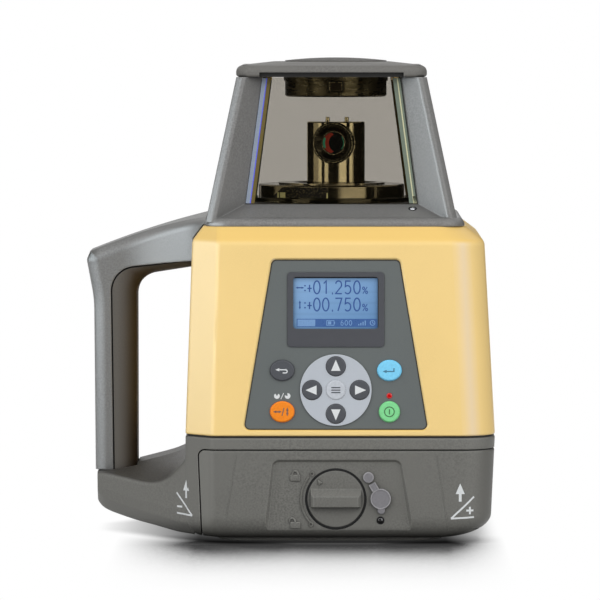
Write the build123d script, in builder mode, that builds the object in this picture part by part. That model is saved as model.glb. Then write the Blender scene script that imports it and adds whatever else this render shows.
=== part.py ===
from build123d import *
import os
from math import atan2, cos, degrees, radians, sin, sqrt

# Rotary laser level in millimetres: X to the right, Y to the back, Z up.
# The origin is the mouth of the tripod thread, on the axis of the spinning head.

# Large round battery cells, which set the height of the base
CELL_R = 16.6
CELL_L = 61.2

# Heights of the layers, from the ground up
BASE_BOTTOM_Z = 2.4
BASE_ROUND_H = 11.6
BASE_H = 2 * CELL_R + 18.0
BAND_H = 6.4
SEAM_T = 0.9
CASE_H = 105.5
BEVEL_H = 7.4
SILL_BAND_H = 4.3
SILL_H = 6.3
WINDOW_H = 65.0
LID_EDGE_H = 6.0
LID_DOME_H = 1.6
LID_RING_H = 2.1
BASE_ROUND_Z = BASE_BOTTOM_Z + BASE_ROUND_H
BASE_TOP_Z = BASE_BOTTOM_Z + BASE_H
DOOR_TOP_Z = BASE_TOP_Z - BAND_H
SEAM_Z = BASE_TOP_Z + SEAM_T
CASE_TOP_Z = SEAM_Z + CASE_H
BEVEL_Z = CASE_TOP_Z - BEVEL_H
SILL_BAND_Z = CASE_TOP_Z + SILL_BAND_H
FLOOR_Z = SILL_BAND_Z + SILL_H
LID_Z = FLOOR_Z + WINDOW_H
LID_EDGE_Z = LID_Z + LID_EDGE_H
LID_DOME_Z = LID_EDGE_Z + LID_DOME_H
TOP_Z = LID_DOME_Z + LID_RING_H

# Plan of the body at the seam between the main case and the base
BODY_LEFT = -76.5
BODY_RIGHT = 81.0
HALF_DEPTH = 83.0
LEFT_CHAMFER = 13.7
EDGE_R = 4.0
CORNER_R = 17.0
WALL = 3.0
SEAM_R = 0.8

# How far each side of the main case leans in up to the bevel, and its top edge
LEAN_LEFT = 3.4
LEAN_RIGHT = 5.3
LEAN_FRONT = 7.0
LEAN_CHAMFER = 0.4
CASE_TOP_LEFT = BODY_LEFT + 9.0
CASE_TOP_RIGHT = BODY_RIGHT - 15.0
CASE_TOP_HALF_DEPTH = HALF_DEPTH - 15.0
TOP_CHAMFER = 8.0

# Glazed head: a square frustum that fits the narrower side of the case top
HEAD_ROOM = min((CASE_TOP_RIGHT - CASE_TOP_LEFT) / 2, CASE_TOP_HALF_DEPTH - 1.25)
HEAD_X = (CASE_TOP_LEFT + CASE_TOP_RIGHT) / 2 - 1.45
POST_HALF_LOW = HEAD_ROOM - 5.35
POST_HALF_HIGH = POST_HALF_LOW - 14.0
POST_T = 6.4
PANE_HALF_LOW = POST_HALF_LOW - 12.9
PANE_HALF_HIGH = PANE_HALF_LOW - 8.6
PANE_T = 3.0
PANE_FIT = 0.2
LID_HALF = POST_HALF_HIGH + 1.5
LID_RING_R = PANE_HALF_HIGH - 13.5
TURRET_FLANGE_R = PANE_HALF_LOW - 6.3
TURRET_R = TURRET_FLANGE_R - 4.3
TURRET_TOP_Z = FLOOR_Z + 9.0
TURRET_HOLE_R = 21.2
RECEIVER_BOTTOM_Z = LID_Z - 10.6

# Spinning head and its optics
ROTOR_R = 15.1
ROTOR_TOP_Z = FLOOR_Z + 41.4
LENS_Z = ROTOR_TOP_Z - 10.9
LENS_RING_R = 10.8
LENS_R = 6.2
PRISM_FACE = 9.0

# Two-axis levelling gimbal, reaching as far as the nearer wall allows
PIVOT_Z = FLOOR_Z - 27.6
TILT_REACH = min(BODY_RIGHT, HALF_DEPTH) - 25.0
TILT_TIP_Z = PIVOT_Z - 28.0
HANGER_X = TILT_REACH - 12.0
RING_OUT_R = HANGER_X - 6.0
RING_IN_R = RING_OUT_R - 8.0
PIVOT_PIN_R = 2.5
RUN_GAP = 0.05
SCREW_OFFSET = 8.0
SCREW_R = 2.0

# Handle: the finger gap sets it off from the body
FINGER_GAP = 26.9
HANDLE_IN_X = BODY_LEFT - FINGER_GAP
HANDLE_SEAM_X = HANDLE_IN_X - 12.2
HANDLE_OUT_X = HANDLE_SEAM_X - 9.4
HANDLE_FOOT_Z = BASE_TOP_Z - 22.1
HANDLE_HALF_Y = 18.0
HANDLE_FIT = 0.4

# Control panel, measured up the leaning front face from the seam
PANEL_LOW = 3.5
PANEL_HIGH = CASE_H - BEVEL_H - 8.9
PANEL_H = PANEL_HIGH - PANEL_LOW
PANEL_HALF_LOW = 46.5
PANEL_HALF_HIGH = 32.2
PANEL_SUNK = 0.8
PANEL_T = 3.0
BEZEL_W = 49.0
BEZEL_H = 0.441 * PANEL_H
BEZEL_UP = PANEL_LOW + 0.707 * PANEL_H
BEZEL_R = 1.8
BEZEL_SUNK = 0.3
LCD_W = 43.2
LCD_H = 0.306 * PANEL_H
LCD_R = 1.6
LCD_SUNK = 1.8
LCD_UP = PANEL_LOW + 0.747 * PANEL_H
NAV_UP = PANEL_LOW + 0.232 * PANEL_H
NAV_R = 0.211 * PANEL_H
NAV_STEP = 0.664 * NAV_R
NAV_KEY_R = 0.27 * NAV_R
SIDE_KEY_X = 27.1
SIDE_KEY_HIGH = PANEL_LOW + 0.348 * PANEL_H
SIDE_KEY_LOW = PANEL_LOW + 0.104 * PANEL_H
SIDE_KEY_RX = 6.0
SIDE_KEY_RY = 5.1
KEY_GAP = 0.3
KEY_RISE = 1.2
KEY_DEPTH = 5.4
LAMP_UP = PANEL_LOW + 0.198 * PANEL_H
LAMP_R = 1.5
BOARD_DEPTH = 12.0
BOARD_T = 1.6

# Battery holder: two rows of two cells behind a door with a lock knob and a charge socket
BAY_LEFT = BODY_LEFT + 7.9
BAY_BACK = 38.0 - HALF_DEPTH
TRAY_X = (BODY_LEFT + BODY_RIGHT) / 2 + 0.35
TRAY_BOTTOM_Z = BASE_BOTTOM_Z + 8.6
CELL_Z = TRAY_BOTTOM_Z + 1.6 + CELL_R
RECESS_Y = HALF_DEPTH - 1.0
DOOR_WALL_Y = RECESS_Y - 3.0
KNOB_Z = BASE_BOTTOM_Z + 20.2
KNOB_R = 14.6
FLAP_PIN = (KNOB_R + 1.9, KNOB_Z + 11.0)
FLAP_PLUG = (KNOB_R + 8.1, KNOB_Z + 0.1)
FLAP_T = 1.6
FLAP_PLUG_R = 5.2
FLAP_PIN_R = 2.7
JACK_R = 3.5
CHARGE_LAMP_AT = (FLAP_PLUG[0] - 0.1, FLAP_PLUG[1] - 11.0)

# Tripod thread, five eighths of an inch, in a closed boss
THREAD_R = 6.9
THREAD_L = 9.2
INSERT_R = 10.5
BOSS_R = 16.0
BOSS_CAP_T = 1.0
BOSS_TOP_Z = THREAD_L + BOSS_CAP_T
BOSS_FIT = 0.5

UP = (Align.CENTER, Align.CENTER, Align.MIN)
DOWN = (Align.CENTER, Align.CENTER, Align.MAX)

# The front face leans back; sketches on this plane read x to the right and y up the face
LEAN = atan2(LEAN_FRONT, BEVEL_Z - SEAM_Z)
FRONT = Plane(origin=(0, -HALF_DEPTH, SEAM_Z), x_dir=(1, 0, 0), z_dir=(0, -cos(LEAN), sin(LEAN)))


# Shared outlines

def polygon_face(plane, points):
    """A flat face with straight sides on a plane."""
    with BuildSketch(plane) as face:
        with BuildLine():
            Polyline(*points, close=True)
        make_face()
    return face.sketch


def body_outline(z, left, right, half_depth, chamfer, inset=0.0):
    """Plan of the main case: 45 degree facets at the left, round corners at the right."""
    west = left + inset
    east = right - inset
    half = half_depth - inset
    facet = chamfer - inset * (2 - sqrt(2))
    with BuildSketch(Plane.XY.offset(z)) as outline:
        with BuildLine():
            Polyline(
                (east, -half), (east, half), (west + facet, half), (west, half - facet),
                (west, facet - half), (west + facet, -half), close=True,
            )
        make_face()
        fillet(outline.vertices().group_by(Axis.X)[-1], CORNER_R - inset)
        corners = [v for v in outline.vertices() if v.X < west + facet + 0.1]
        fillet(corners, EDGE_R)
    return outline.sketch


def case_outlines(inset=0.0):
    """Plans of the main case at the seam, at the bevel and at the top edge."""
    low = body_outline(SEAM_Z, BODY_LEFT, BODY_RIGHT, HALF_DEPTH, LEFT_CHAMFER, inset)
    middle = body_outline(
        BEVEL_Z, BODY_LEFT + LEAN_LEFT, BODY_RIGHT - LEAN_RIGHT,
        HALF_DEPTH - LEAN_FRONT, LEFT_CHAMFER - LEAN_CHAMFER, inset,
    )
    high = body_outline(
        CASE_TOP_Z - inset, CASE_TOP_LEFT, CASE_TOP_RIGHT, CASE_TOP_HALF_DEPTH, TOP_CHAMFER, inset,
    )
    return [low, middle, high]


BASE_DRAFT = 2.4
BELLY = 1.0
CREASE_X = 48.5
CREASE_SPREAD = 7.0


def base_outline(z, inset=0.0, right_inset=0.0):
    """Plan of the base; its front has a middle facet that swells out towards the ground."""
    drop = (BASE_TOP_Z - z) / (BASE_TOP_Z - BASE_BOTTOM_Z)
    west = BODY_LEFT + inset
    east = BODY_RIGHT - BASE_DRAFT * drop - inset - right_inset
    half = HALF_DEPTH - inset
    facet = LEFT_CHAMFER - inset * (2 - sqrt(2))
    swell = half + BELLY * drop
    crease = CREASE_X + CREASE_SPREAD * drop - inset
    with BuildSketch(Plane.XY.offset(z)) as outline:
        with BuildLine():
            Polyline(
                (east, -half), (east, half), (west + facet, half), (west, half - facet),
                (west, facet - half), (west + facet, -half), (-crease, -swell), (crease, -swell),
                close=True,
            )
        make_face()
        fillet(outline.vertices().group_by(Axis.X)[-1], CORNER_R - inset)
        corners = [v for v in outline.vertices() if v.X < west + facet + 0.1]
        fillet(corners, EDGE_R)
    return outline.sketch


BASE_ROUND_IN = 9.0
BASE_ROUND_RIGHT = 14.0


def base_round(turn, extra=0.0):
    """One plan of the rounded foot of the base, at an angle of the quarter round; wider at the right."""
    z = BASE_ROUND_Z - (BASE_ROUND_Z - BASE_BOTTOM_Z) * sin(radians(turn))
    share = 1 - cos(radians(turn))
    return base_outline(z, BASE_ROUND_IN * share + extra, BASE_ROUND_RIGHT * share)


def head_square(z, half, radius):
    """Rounded square around the axis of the glazed head."""
    with BuildSketch(Plane.XY.offset(z)) as square:
        with Locations((HEAD_X, 0)):
            RectangleRounded(2 * half, 2 * half, radius)
    return square.sketch


# Base

with BuildPart() as base_block:
    loft([base_outline(BASE_TOP_Z), base_outline(BASE_ROUND_Z)], ruled=True)
    loft([base_round(turn) for turn in (0, 30, 60, 90)])
    fillet(base_block.faces().sort_by(Axis.Z)[-1].edges(), SEAM_R)

CORE_FLOOR_TURN = 48

with BuildPart() as base_core:
    loft(
        [
            base_round(CORE_FLOOR_TURN, WALL), base_outline(BASE_ROUND_Z, WALL),
            base_outline(BASE_TOP_Z, WALL),
        ],
        ruled=True,
    )

SHOULDER_X = BODY_LEFT + LEFT_CHAMFER
ARM_EDGE = 6.0
ARM_LEAN = 1.1
ARM_CROWN = 14.0
ARM_EDGE_R = 2.5
ARM_TIP_X = HANDLE_OUT_X + 1.3
ARM_TIP_HALF = HANDLE_HALF_Y + 2.95
SHOULDER_HALF = HALF_DEPTH - 0.15


def arm_section(x, lift, rim, ridge):
    """Cross section of the arm: lift above the base's floor, rim and ridge from the handle's foot."""
    half = ARM_TIP_HALF + (SHOULDER_HALF - ARM_TIP_HALF) * (x - ARM_TIP_X) / (SHOULDER_X - ARM_TIP_X)
    bottom = BASE_BOTTOM_Z + lift
    rim_z = HANDLE_FOOT_Z + rim
    ridge_z = HANDLE_FOOT_Z + ridge
    with BuildSketch(Plane.YZ.offset(x)) as section:
        with BuildLine():
            Polyline(
                (ARM_EDGE - half, bottom), (half - ARM_EDGE, bottom),
                (half - ARM_LEAN, bottom + ARM_EDGE), (half, bottom + BASE_ROUND_H), (half, rim_z),
                (ARM_CROWN, ridge_z), (-ARM_CROWN, ridge_z),
                (-half, rim_z), (-half, bottom + BASE_ROUND_H), (ARM_LEAN - half, bottom + ARM_EDGE),
                close=True,
            )
        make_face()
        fillet(section.vertices(), ARM_EDGE_R)
    return section.sketch


with BuildPart() as base_arm:
    loft([
        arm_section(BODY_LEFT + 4.5, 0.5, 13.5, 16.5),
        arm_section(BODY_LEFT - 3.5, 1.0, 5.5, 10.3),
        arm_section(BODY_LEFT - 9.5, 1.9, -0.5, 8.1),
        arm_section(BODY_LEFT - 17.0, 3.2, -3.5, 6.1),
        arm_section(BODY_LEFT - 28.0, 5.0, -2.9, 3.3),
        arm_section(ARM_TIP_X + 8.0, 7.6, -1.3, 0.9),
        arm_section(ARM_TIP_X + 2.5, 10.0, -0.7, -0.1),
        arm_section(ARM_TIP_X, 13.1, -0.9, -0.7),
    ])

DECK_Z = DOOR_TOP_Z + 1.2
DECK_T = 2.5
DOOR_GAP = 0.6
DOOR_SLANT = 1.0
DOOR_CORNER_R = 3.5


def door_region(grow=0.0):
    """The block of the base that slides out with the battery holder, grown by a gap."""
    left = BAY_LEFT - grow
    far = 2 * BODY_RIGHT
    with BuildSketch(Plane.XZ.offset(-BAY_BACK - grow)) as outline:
        with BuildLine():
            Polyline(
                (left - DOOR_SLANT, DOOR_TOP_Z + grow), (far, DOOR_TOP_Z + grow),
                (far, 0), (left + DOOR_SLANT, 0), close=True,
            )
        make_face()
        fillet(outline.vertices().sort_by_distance((left, DOOR_TOP_Z, 0))[0], DOOR_CORNER_R + grow)
    with BuildPart() as region:
        extrude(outline.sketch, amount=2 * HALF_DEPTH)
    return region.part


with BuildPart() as base_case:
    add(base_block.part)
    add(base_arm.part)
    add(base_core.part, mode=Mode.SUBTRACT)
    extrude(base_outline(DECK_Z, WALL - 0.5), amount=DECK_T)
    add(door_region(DOOR_GAP), mode=Mode.SUBTRACT)
    Cylinder(BOSS_R + BOSS_FIT, 2 * BOSS_TOP_Z, mode=Mode.SUBTRACT)
    with Locations((HANDLE_OUT_X - 5, 0, HANDLE_FOOT_Z)):
        Box(
            HANDLE_IN_X - HANDLE_OUT_X + 5 + HANDLE_FIT, 2 * (HANDLE_HALF_Y + HANDLE_FIT), 20,
            align=(Align.MIN, Align.CENTER, Align.MIN), mode=Mode.SUBTRACT,
        )

PLATE_LEFT = BODY_LEFT + 16.5
PLATE_RIGHT = BODY_RIGHT - 27.0
PLATE_HALF_Y = HALF_DEPTH - 10.0
PLATE_T = 1.5
FOOT_R = 7.0
FOOT_INSET = 12.0
FOOT_SPOTS = [
    (x, y)
    for x in (PLATE_LEFT + FOOT_INSET, PLATE_RIGHT - FOOT_INSET)
    for y in (FOOT_INSET - PLATE_HALF_Y, PLATE_HALF_Y - FOOT_INSET)
]
BASE_SCREW_SPOTS = [
    (x, y)
    for x in (PLATE_LEFT + 20, PLATE_RIGHT - 16)
    for y in (43 - PLATE_HALF_Y, PLATE_HALF_Y - 33)
]
SCREW_HEAD_R = 2.8
SCREW_HEAD_H = 1.2
SCREW_SHANK_R = 1.4
PLATE_Z = 0.6

with BuildPart() as base_plate:
    with BuildSketch(Plane.XY.offset(PLATE_Z)):
        with Locations(((PLATE_LEFT + PLATE_RIGHT) / 2, 0)):
            RectangleRounded(PLATE_RIGHT - PLATE_LEFT, 2 * PLATE_HALF_Y, 14)
    extrude(amount=PLATE_T)
    with Locations(((PLATE_LEFT + PLATE_RIGHT) / 2, BAY_BACK + 4, PLATE_Z)):
        Box(
            PLATE_RIGHT - PLATE_LEFT - 10, PLATE_HALF_Y - BAY_BACK - 12, BASE_BOTTOM_Z - PLATE_Z,
            align=(Align.CENTER, Align.MIN, Align.MIN),
        )
    Cylinder(BOSS_R, BOSS_TOP_Z, align=UP)
    Cylinder(INSERT_R, THREAD_L, align=UP, mode=Mode.SUBTRACT)
    with Locations(*[(x, y, PLATE_Z) for x, y in FOOT_SPOTS]):
        Cylinder(FOOT_R, PLATE_T / 2, align=UP, mode=Mode.SUBTRACT)
    with Locations(*[(x, y, PLATE_Z) for x, y in BASE_SCREW_SPOTS]):
        Cylinder(SCREW_HEAD_R, SCREW_HEAD_H, align=UP, mode=Mode.SUBTRACT)
        Cylinder(SCREW_SHANK_R, 5, align=UP, mode=Mode.SUBTRACT)

with BuildPart() as tripod_insert:
    Cylinder(INSERT_R, THREAD_L, align=UP)
    Cylinder(THREAD_R, THREAD_L, align=UP, mode=Mode.SUBTRACT)

with BuildPart() as feet:
    with Locations(*[(x, y, 0) for x, y in FOOT_SPOTS]):
        Cylinder(FOOT_R, PLATE_Z + PLATE_T / 2, align=UP)

# Main case

PANEL_CORNER_R = 2.6


def panel_outline(plane, grow=0.0):
    """Outline of the control panel, wider at the foot, grown on every side."""
    with BuildSketch(plane) as outline:
        with BuildLine():
            Polyline(
                (-PANEL_HALF_LOW - grow, PANEL_LOW - grow), (PANEL_HALF_LOW + grow, PANEL_LOW - grow),
                (PANEL_HALF_HIGH + grow, PANEL_HIGH + grow), (-PANEL_HALF_HIGH - grow, PANEL_HIGH + grow),
                close=True,
            )
        make_face()
        fillet(outline.vertices(), PANEL_CORNER_R + grow)
    return outline.sketch


PANEL_FIT = 0.2
SKIRT_HALF = POST_HALF_LOW + 1.6
SKIRT_LEFT_X = HEAD_X - SKIRT_HALF
SKIRT_R = 6.0
CASE_OPENING_HALF = SKIRT_HALF + 0.6
CASE_BEVEL_R = 5.0
CASE_TOP_R = 1.5
ARM_SEAM_Z = CASE_TOP_Z - 19.0
ARM_UNDER_Z = ARM_SEAM_Z - 4.1
ARM_ROOT_LOW_Z = ARM_UNDER_Z - 0.5
ARM_ROOT_HIGH_Z = CASE_TOP_Z + 4.0

with BuildPart() as main_case:
    loft(case_outlines(), ruled=True)
    level_edges = [e for e in main_case.edges() if e.bounding_box().size.Z < 0.05]
    fillet([e for e in level_edges if abs(e.center().Z - BEVEL_Z) < 0.05], CASE_BEVEL_R)
    fillet(main_case.faces().sort_by(Axis.Z)[-1].edges(), CASE_TOP_R)
    fillet(main_case.faces().sort_by(Axis.Z)[0].edges(), SEAM_R)
    loft(case_outlines(WALL), ruled=True, mode=Mode.SUBTRACT)
    extrude(head_square(BEVEL_Z, CASE_OPENING_HALF, SKIRT_R), amount=2 * BEVEL_H, mode=Mode.SUBTRACT)
    extrude(panel_outline(FRONT.offset(1), PANEL_FIT), amount=-8, mode=Mode.SUBTRACT)
    loft(
        [
            panel_outline(FRONT.offset(0.01), PANEL_FIT + PANEL_SUNK),
            panel_outline(FRONT.offset(-PANEL_SUNK), PANEL_FIT),
        ],
        ruled=True, mode=Mode.SUBTRACT,
    )
    with Locations((BODY_LEFT - WALL, 0, ARM_ROOT_LOW_Z)):
        Box(
            SKIRT_LEFT_X - BODY_LEFT + 4 * WALL, 2 * (HANDLE_HALF_Y + HANDLE_FIT), 60,
            align=(Align.MIN, Align.CENTER, Align.MIN), mode=Mode.SUBTRACT,
        )

with BuildPart() as case_gasket:
    extrude(base_outline(BASE_TOP_Z, 1.0), amount=SEAM_Z - BASE_TOP_Z)
    extrude(base_outline(BASE_TOP_Z, WALL), amount=SEAM_Z - BASE_TOP_Z, mode=Mode.SUBTRACT)

# Top frame: sill, four blade posts and the skirt inside the main case

SKIRT_Z = BEVEL_Z + 0.9
FRAME_LEFT = CASE_TOP_LEFT + 1.1
FRAME_RIGHT = CASE_TOP_RIGHT - 0.4
FRAME_HALF_Y = CASE_TOP_HALF_DEPTH - 0.6
FRAME_EDGE_R = SILL_BAND_H - 0.7
FRAME_CORNER_R = 12.0
SILL_HALF = POST_HALF_LOW + 0.6
FLOOR_BORE_R = TURRET_FLANGE_R - 1.8
POST_ROUND = 2.2


def head_half(low, high, z):
    """Half width of a leaning part of the glazed head at a height."""
    return low + (high - low) * (z - FLOOR_Z) / (LID_Z - FLOOR_Z)


HEAD_AXIS = Axis((HEAD_X, 0, 0), (0, 0, 1))
POST_FOOT_Z = CASE_TOP_Z + 2

with BuildPart() as post:
    blade_inner = HEAD_X + sqrt(2) * PANE_HALF_LOW - POST_T / 2
    blade = polygon_face(Plane.XZ, [
        (blade_inner, POST_FOOT_Z),
        (HEAD_X + sqrt(2) * head_half(POST_HALF_LOW, POST_HALF_HIGH, POST_FOOT_Z + 2), POST_FOOT_Z),
        (HEAD_X + sqrt(2) * POST_HALF_HIGH, LID_Z),
        (HEAD_X + sqrt(2) * PANE_HALF_HIGH - POST_T / 2, LID_Z),
        (blade_inner, FLOOR_Z),
    ])
    extrude(blade, amount=POST_T / 2, both=True)
    blade_edges = post.edges().filter_by(lambda e: e.bounding_box().size.Z > WINDOW_H)
    fillet(blade_edges.group_by(Axis.X)[-1], POST_ROUND)

with BuildPart() as top_frame:
    with BuildSketch(Plane.XY.offset(CASE_TOP_Z)):
        with Locations(((FRAME_LEFT + FRAME_RIGHT) / 2, 0)):
            RectangleRounded(FRAME_RIGHT - FRAME_LEFT, 2 * FRAME_HALF_Y, FRAME_CORNER_R)
    extrude(amount=SILL_BAND_Z - CASE_TOP_Z)
    fillet(top_frame.faces().sort_by(Axis.Z)[-1].edges(), FRAME_EDGE_R)
    loft(
        [head_square(SILL_BAND_Z - 0.4, SILL_HALF, 4), head_square(FLOOR_Z, PANE_HALF_LOW + 0.6, 1)],
        ruled=True,
    )
    extrude(head_square(SKIRT_Z, SKIRT_HALF, SKIRT_R), amount=CASE_TOP_Z - SKIRT_Z)
    extrude(head_square(SKIRT_Z, SKIRT_HALF - 4, 4), amount=CASE_TOP_Z - SKIRT_Z, mode=Mode.SUBTRACT)
    loft(
        [head_square(CASE_TOP_Z, SKIRT_HALF - 4, 4), head_square(FLOOR_Z - 4, PANE_HALF_LOW, 4)],
        ruled=True, mode=Mode.SUBTRACT,
    )
    with Locations((HEAD_X, 0, SKIRT_Z)):
        Cylinder(FLOOR_BORE_R, 60, align=UP, mode=Mode.SUBTRACT)
    for turn in (45, 135, 225, 315):
        add(post.part.rotate(HEAD_AXIS, turn))
    loft(
        [
            head_square(FLOOR_Z, PANE_HALF_LOW + PANE_FIT, PANE_FIT),
            head_square(LID_Z, PANE_HALF_HIGH + PANE_FIT, PANE_FIT),
        ],
        ruled=True, mode=Mode.SUBTRACT,
    )

# Window panes: four flat plates with mitred ends

PANE_TOP_Z = LID_Z - 0.3


def pane_section(z):
    """Plan of the front pane at a height, with 45 degree ends."""
    half = head_half(PANE_HALF_LOW, PANE_HALF_HIGH, z)
    inner = half - PANE_T
    return polygon_face(
        Plane((HEAD_X, 0, z)), [(-half, -half), (half, -half), (inner, -inner), (-inner, -inner)],
    )


with BuildPart() as window_pane:
    loft([pane_section(FLOOR_Z), pane_section(PANE_TOP_Z)], ruled=True)


def window_at(turn):
    """The front pane turned about the axis of the glazed head."""
    return window_pane.part.rotate(HEAD_AXIS, turn)


# Lid and the parts under it

LID_SCREW_HALF = LID_HALF - 5.9
LID_SCREW_SPOTS = [
    (HEAD_X + x, y)
    for x in (-LID_SCREW_HALF, LID_SCREW_HALF)
    for y in (-LID_SCREW_HALF, LID_SCREW_HALF)
]
LID_SCREW_Z = LID_EDGE_Z - 2.2

LID_EAVE_H = 2.4
LID_EAVE_DEPTH = 3.0
LID_EAVE_HALF = PANE_HALF_HIGH - 3.0
LID_CAP_RIM = 0.6
LID_CAP_CROWN = LID_RING_H - LID_CAP_RIM
LID_CAP_R = (LID_RING_R ** 2 + LID_CAP_CROWN ** 2) / (2 * LID_CAP_CROWN)

with BuildPart() as lid_cap:
    with Locations((0, 0, LID_EDGE_Z)):
        Cylinder(LID_RING_R, TOP_Z - LID_EDGE_Z, align=UP)
    with Locations((0, 0, TOP_Z - LID_CAP_R)):
        Sphere(LID_CAP_R, mode=Mode.INTERSECT)

with BuildPart() as lid:
    extrude(head_square(LID_Z, LID_HALF, 9), amount=LID_EDGE_Z - LID_Z)
    fillet(lid.faces().sort_by(Axis.Z)[-1].edges(), 3.4)
    fillet(lid.faces().sort_by(Axis.Z)[0].edges(), 1.6)
    loft(
        [head_square(LID_EDGE_Z - 0.2, LID_HALF - 4, 6), head_square(LID_DOME_Z, LID_RING_R + 4, 20)],
        ruled=True,
    )
    add(lid_cap.part)
    with Locations((HEAD_X, 0, LID_Z)):
        with PolarLocations(LID_HALF, 4):
            Box(2 * LID_EAVE_DEPTH, 2 * LID_EAVE_HALF, 2 * LID_EAVE_H, mode=Mode.SUBTRACT)
    with Locations(*[(x, y, LID_SCREW_Z) for x, y in LID_SCREW_SPOTS]):
        Cylinder(SCREW_HEAD_R, LID_EDGE_H, align=UP, mode=Mode.SUBTRACT)
        Cylinder(SCREW_SHANK_R, LID_EDGE_H, align=DOWN, mode=Mode.SUBTRACT)

with BuildPart() as receiver_ring:
    with Locations((0, 0, RECEIVER_BOTTOM_Z)):
        Cylinder(LID_RING_R, LID_Z - RECEIVER_BOTTOM_Z, align=UP)
    chamfer(receiver_ring.faces().sort_by(Axis.Z)[0].edges(), 0.8)
    with Locations((0, 0, LID_Z)):
        Cylinder(LID_RING_R + 0.7, 2.4, align=DOWN)
    with Locations((0, 0, LID_Z)):
        Cylinder(LID_RING_R - 3, LID_Z - RECEIVER_BOTTOM_Z - 2, align=DOWN, mode=Mode.SUBTRACT)
    with Locations((0, -LID_RING_R, LID_Z - 5.2)):
        Box(9, 2.0, 6.4, mode=Mode.SUBTRACT)

with BuildPart() as turret_cover:
    with Locations((HEAD_X, 0, FLOOR_Z)):
        Cylinder(TURRET_FLANGE_R, 2.3, align=UP)
        Cylinder(TURRET_R, TURRET_TOP_Z - FLOOR_Z, align=UP)
    chamfer(turret_cover.faces().sort_by(Axis.Z)[-1].edges(), 0.7)
    with Locations((HEAD_X, 0, TURRET_TOP_Z)):
        Cylinder(TURRET_R - 10.2, 0.8, align=UP)
    with Locations((HEAD_X, 0, FLOOR_Z)):
        Cylinder(TURRET_R - 2.5, TURRET_TOP_Z - FLOOR_Z - 2, align=UP, mode=Mode.SUBTRACT)
    with Locations((0, 0, FLOOR_Z)):
        Cylinder(TURRET_HOLE_R, 40, align=UP, mode=Mode.SUBTRACT)

# Handle: outer shell, drawn from the front and from above, and grip cover

HANDLE_TOP_Z = CASE_TOP_Z - 14.8
HANDLE_CORNER_X = HANDLE_OUT_X - 4.4
HANDLE_WAIST = (HANDLE_OUT_X - 0.6, CASE_TOP_Z - 40.0)
HANDLE_ROUND = 6.0
ARM_TOP_NEAR = (FRAME_LEFT - 25.3, CASE_TOP_Z - 2.2)
ARM_TOP_FAR = (HANDLE_OUT_X + 7.9, CASE_TOP_Z - 10.8)
SEAM_BEND = (HANDLE_SEAM_X - 1.2, ARM_SEAM_Z - 5.0)
SEAM_BEND_R = 13.0
COVER_RIGHT_X = BODY_LEFT + LEAN_LEFT - 1.0
ARM_FLARE_X = HANDLE_SEAM_X + 5.0
ARM_SPREAD = FRAME_HALF_Y - FRAME_CORNER_R - HANDLE_HALF_Y


def handle_plan():
    """Plan of the handle shell: even at the grip, flaring towards the body, with a tenon inside it."""
    far_x = HANDLE_CORNER_X - HANDLE_ROUND
    root_half = HANDLE_HALF_Y + ARM_SPREAD
    with BuildSketch() as plan:
        with BuildLine():
            Polyline(
                (FRAME_LEFT, root_half), (FRAME_LEFT, 0), (far_x, 0),
                (far_x, HANDLE_HALF_Y), (ARM_FLARE_X, HANDLE_HALF_Y),
            )
            TangentArc((ARM_FLARE_X, HANDLE_HALF_Y), (FRAME_LEFT, root_half), tangent=(1, 0))
        make_face()
        with Locations((FRAME_LEFT, 0)):
            Rectangle(2 * (SKIRT_LEFT_X - FRAME_LEFT), HANDLE_HALF_Y, align=(Align.MIN, Align.MIN))
        mirror(about=Plane.XZ)
    return plan.sketch


with BuildPart() as case_room:
    loft(case_outlines(-HANDLE_FIT), ruled=True)
    Box(-4 * HANDLE_OUT_X, 2 * HANDLE_HALF_Y, 4 * LID_Z, mode=Mode.SUBTRACT)

with BuildPart() as handle_shell:
    with BuildSketch(Plane.XZ) as shell_profile:
        with BuildLine():
            Spline(
                (FRAME_LEFT, ARM_ROOT_HIGH_Z), ARM_TOP_NEAR, ARM_TOP_FAR,
                (HANDLE_CORNER_X + 2, HANDLE_TOP_Z),
            )
            Polyline(
                (HANDLE_CORNER_X + 2, HANDLE_TOP_Z), (HANDLE_CORNER_X, HANDLE_TOP_Z - 4.5),
                HANDLE_WAIST, (HANDLE_OUT_X, HANDLE_FOOT_Z), (HANDLE_SEAM_X, HANDLE_FOOT_Z),
                SEAM_BEND, (COVER_RIGHT_X, ARM_SEAM_Z), (SKIRT_LEFT_X, ARM_SEAM_Z),
                (SKIRT_LEFT_X, CASE_TOP_Z), (FRAME_LEFT, CASE_TOP_Z), (FRAME_LEFT, ARM_ROOT_HIGH_Z),
            )
        make_face()
        fillet(shell_profile.vertices().sort_by_distance((*SEAM_BEND, 0))[0], SEAM_BEND_R)
        fillet(shell_profile.vertices().group_by(Axis.X)[0], 4)
        fillet(shell_profile.vertices().sort_by_distance((*HANDLE_WAIST, 0))[0], 60)
    extrude(amount=HANDLE_HALF_Y + ARM_SPREAD, both=True)
    extrude(handle_plan(), amount=LID_Z, mode=Mode.INTERSECT)
    flank_edges = [
        e for e in handle_shell.edges()
        if abs(e.center().Y) > HANDLE_HALF_Y - 0.1
        and e.center().X < FRAME_LEFT - 0.5
        and abs(e.center().X - ARM_FLARE_X) > 0.1
    ]
    outside = [
        e for e in flank_edges
        if e.center().X < HANDLE_OUT_X + 3 or e.center().Z > HANDLE_TOP_Z - 1.6
    ]
    fillet(outside, HANDLE_ROUND)
    add(case_room.part, mode=Mode.SUBTRACT)

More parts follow.
